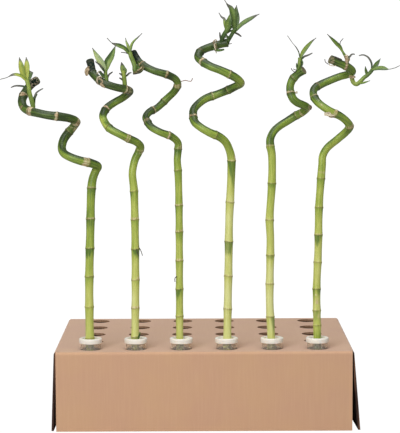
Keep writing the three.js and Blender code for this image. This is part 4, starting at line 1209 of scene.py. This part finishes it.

# Scraps. What clings to the canes: papery rests of old leaf sheaths in dry tans, soft green ones that
# still wrap the foot of a shoot, and dark hair roots. One dark strip along the top of cane 6 is painted
# shadow. Each strip is curled along its own path. It has its stalk, kind, width and path in mm.
SCRAPS = [
    (1, "tan", 2.2, [(-84, -6, 434), (-88, -9, 438), (-90, -9, 434)]),
    (1, "green", 3.4, [(-74, -9, 432), (-72, -8, 440), (-71, -7, 448), (-68, -5, 454)]),
    (2, "green", 2.4, [(3, -5, 121), (5, -8, 128), (6, -7, 132)]),
    (2, "dark", 0.9, [(4, -3, 249), (8, -5, 242), (10, -6, 236)]),
    (2, "dark", 0.9, [(2, -5, 245), (3, -8, 240), (5, -8, 236)]),
    (2, "cream", 1.6, [(-47, -17, 466), (-48, -20, 475), (-45, -20, 477), (-40, -17, 476)]),
    (2, "tan", 2.0, [(-47, -19, 473), (-44, -22, 474), (-41, -21, 470), (-44, -20, 467), (-41, -18, 463)]),
    (2, "tan", 3.0, [(-44, -19, 469), (-41, -21, 466), (-38, -20, 462)]),
    (2, "cream", 1.8, [(-49, -12, 480), (-45, -14, 484), (-42, -14, 483)]),
    (2, "tan", 5.5, [(-57, -4, 489), (-61, -6, 487), (-63, -7, 483), (-62, -8, 478)]),
    (3, "dark", 0.8, [(-4, -3, 208), (-8, -5, 205), (-8, -6, 200)]),
    (3, "husk", 5.0, [(-47, -15, 494), (-49, -17, 489), (-53, -19, 485), (-58, -20, 482), (-62, -19, 481)]),
    (3, "green", 5.0, [(-50, -7, 498), (-53.5, -10, 493), (-55.5, -13, 489), (-57, -15, 484)]),
    (3, "tan", 1.8, [(-50, -20, 490), (-52.5, -21, 487), (-56, -21, 485)]),
    (3, "dark", 1.8, [(-62, -20.5, 480), (-57, -21.5, 481), (-52, -21, 484)]),
    (3, "brown", 1.0, [(0, 1, 469), (7, 2, 471), (12, 1, 470), (15, 0, 470), (17, -1, 474)]),
    (3, "dark", 1.2, [(-65, -14, 505), (-71, -14, 508), (-78, -14, 509)]),
    (4, "green", 3.6, [(-17, 9, 513), (-12, 6, 511), (-7, 5, 511), (-2, 8, 512)]),
    (4, "green", 5.0, [(0, 8, 534), (4, 6, 539), (9, 7, 543)]),
    (4, "green", 2.6, [(5, 9, 522), (3, 8, 527), (1, 7, 532)]),
    (4, "green", 2.6, [(1, 8, 533), (5, 8, 536), (10, 9, 538)]),
    (4, "green", 2.2, [(7, 9, 527), (3, 8, 529), (-1, 8, 528)]),
    (4, "cream", 1.7, [(-15.5, 7, 520), (-14.5, 6, 515), (-13.5, 6, 511), (-12.5, 9, 507)]),
    (4, "tan", 1.6, [(-17, 8, 519), (-16, 6, 523), (-13, 6, 525), (-12, 7, 522)]),
    (4, "dark", 0.9, [(-1, 11, 519), (4, 8, 519), (8, 6, 520)]),
    (4, "green", 3.6, [(7, 8, 535), (11, 7, 538), (15, 8, 541)]),
    (4, "dark", 2.6, [(13, 8, 534), (17, 5, 532), (21, 4, 529)]),
    (5, "brown", 2.0, [(46, 6, 435), (50, 5, 437), (53, 3, 435), (52, 0, 431)]),
    (5, "cream", 1.8, [(28, -12, 452), (32, -13, 455), (33, -12, 456), (33, -11, 453)]),
    (5, "dark", 0.7, [(34, -12, 480), (28, -15, 483), (26, -16, 485), (25, -17, 487)]),
    (5, "dark", 0.7, [(34, -12, 484), (30, -14, 485), (28, -15, 486)]),
    (6, "dark", 0.6, [(13, -17, 492), (9, -18, 495), (8, -18, 499)]),
    (6, "cream", 1.0, [(15, -18, 494), (14, -19, 491), (18, -20, 490), (23, -19, 490)]),
    (6, "tan", 2.6, [(35, -10, 500), (38, -9, 503), (41, -9, 499), (39, -13, 495), (35, -16, 491)]),
    (6, "tan", 2.0, [(35, -14, 495), (37, -17, 489), (35, -16, 484)]),
    (6, "tan", 5.0, [(36, -15, 504), (37, -17, 499), (37, -17, 493)]),
    (6, "cream", 1.6, [(34, -17, 503), (37, -18.5, 504), (39, -18, 500)]),
    # Painted shadow: a dark strip laid along the top of the cane, between its cut end and its ring.
    (6, "dark", 2.2, [(18, -18.5, 503), (24, -18, 500.5), (31, -16, 498)]),
    (6, "cream", 6.5, [(24, -16, 427), (17, -21, 426), (11, -23, 426), (7, -24, 426)]),
    (6, "tan", 2.2, [(22, -17, 424), (17, -21, 422), (13, -22, 423)]),
    (6, "tan", 4.0, [(41, -5, 475.5), (45, -4, 474.5), (50, -2, 475)]),
    (6, "dark", 0.7, [(31, -13, 510), (29, -12, 516), (29, -12, 521), (31, -12, 524), (33, -12, 526)]),
]
SCRAP_SHAPE = dict(body=1.4, dry=2.0)  # blunt, and with no grey tail of its own
SCRAP_COLOURS = {
    "tan": ("#bda988", "#7b664a"),
    "cream": ("#ded3b8", "#a8967a"),
    "husk": ("#6f6a3d", "#2f2f19"),
    "brown": ("#9b6b50", "#5d4030"),
    "dark": ("#4b463a", "#2e2a22"),
    "green": ("#54702f", "#2c3d1c"),
}

# Sheath skin: matt and papery, with fibres of about 2 mm between its pale and its deep colour.
scrap_skins = {}
for kind, (pale, deep) in SCRAP_COLOURS.items():
    scrap_skins[kind], tree, shader = new_material(f"dried_sheath_{kind}", Roughness=0.75, IOR=1.45)
    lay = node(tree, "Attribute", {"attribute_name": "lay"}, "Vector")
    fibres = node(tree, "TexNoise", {"Scale": 0.45, "Detail": 4, "Vector": lay})
    frayed = node(tree, "MapRange", {"From Min": 0.35, "From Max": 0.65, "Value": fibres})
    papery = node(tree, "Mix", {"data_type": "RGBA", 0: frayed, 6: pale, 7: deep}, 2)
    tree.links.new(papery, shader.inputs["Base Color"])

for number in range(1, len(STALKS) + 1):
    pieces = []
    for stalk, kind, width, path in SCRAPS:
        if stalk == number:
            scrap = leaf_blade(f"scrap_{number}", origin_of(number), path, width, **SCRAP_SHAPE)
            scrap.data.materials[0] = scrap_skins[kind]
            pieces.append(scrap)
    scraps = join(f"scraps_{number}", pieces)
    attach(scraps, "root")
    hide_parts(f"stalk_{number}")
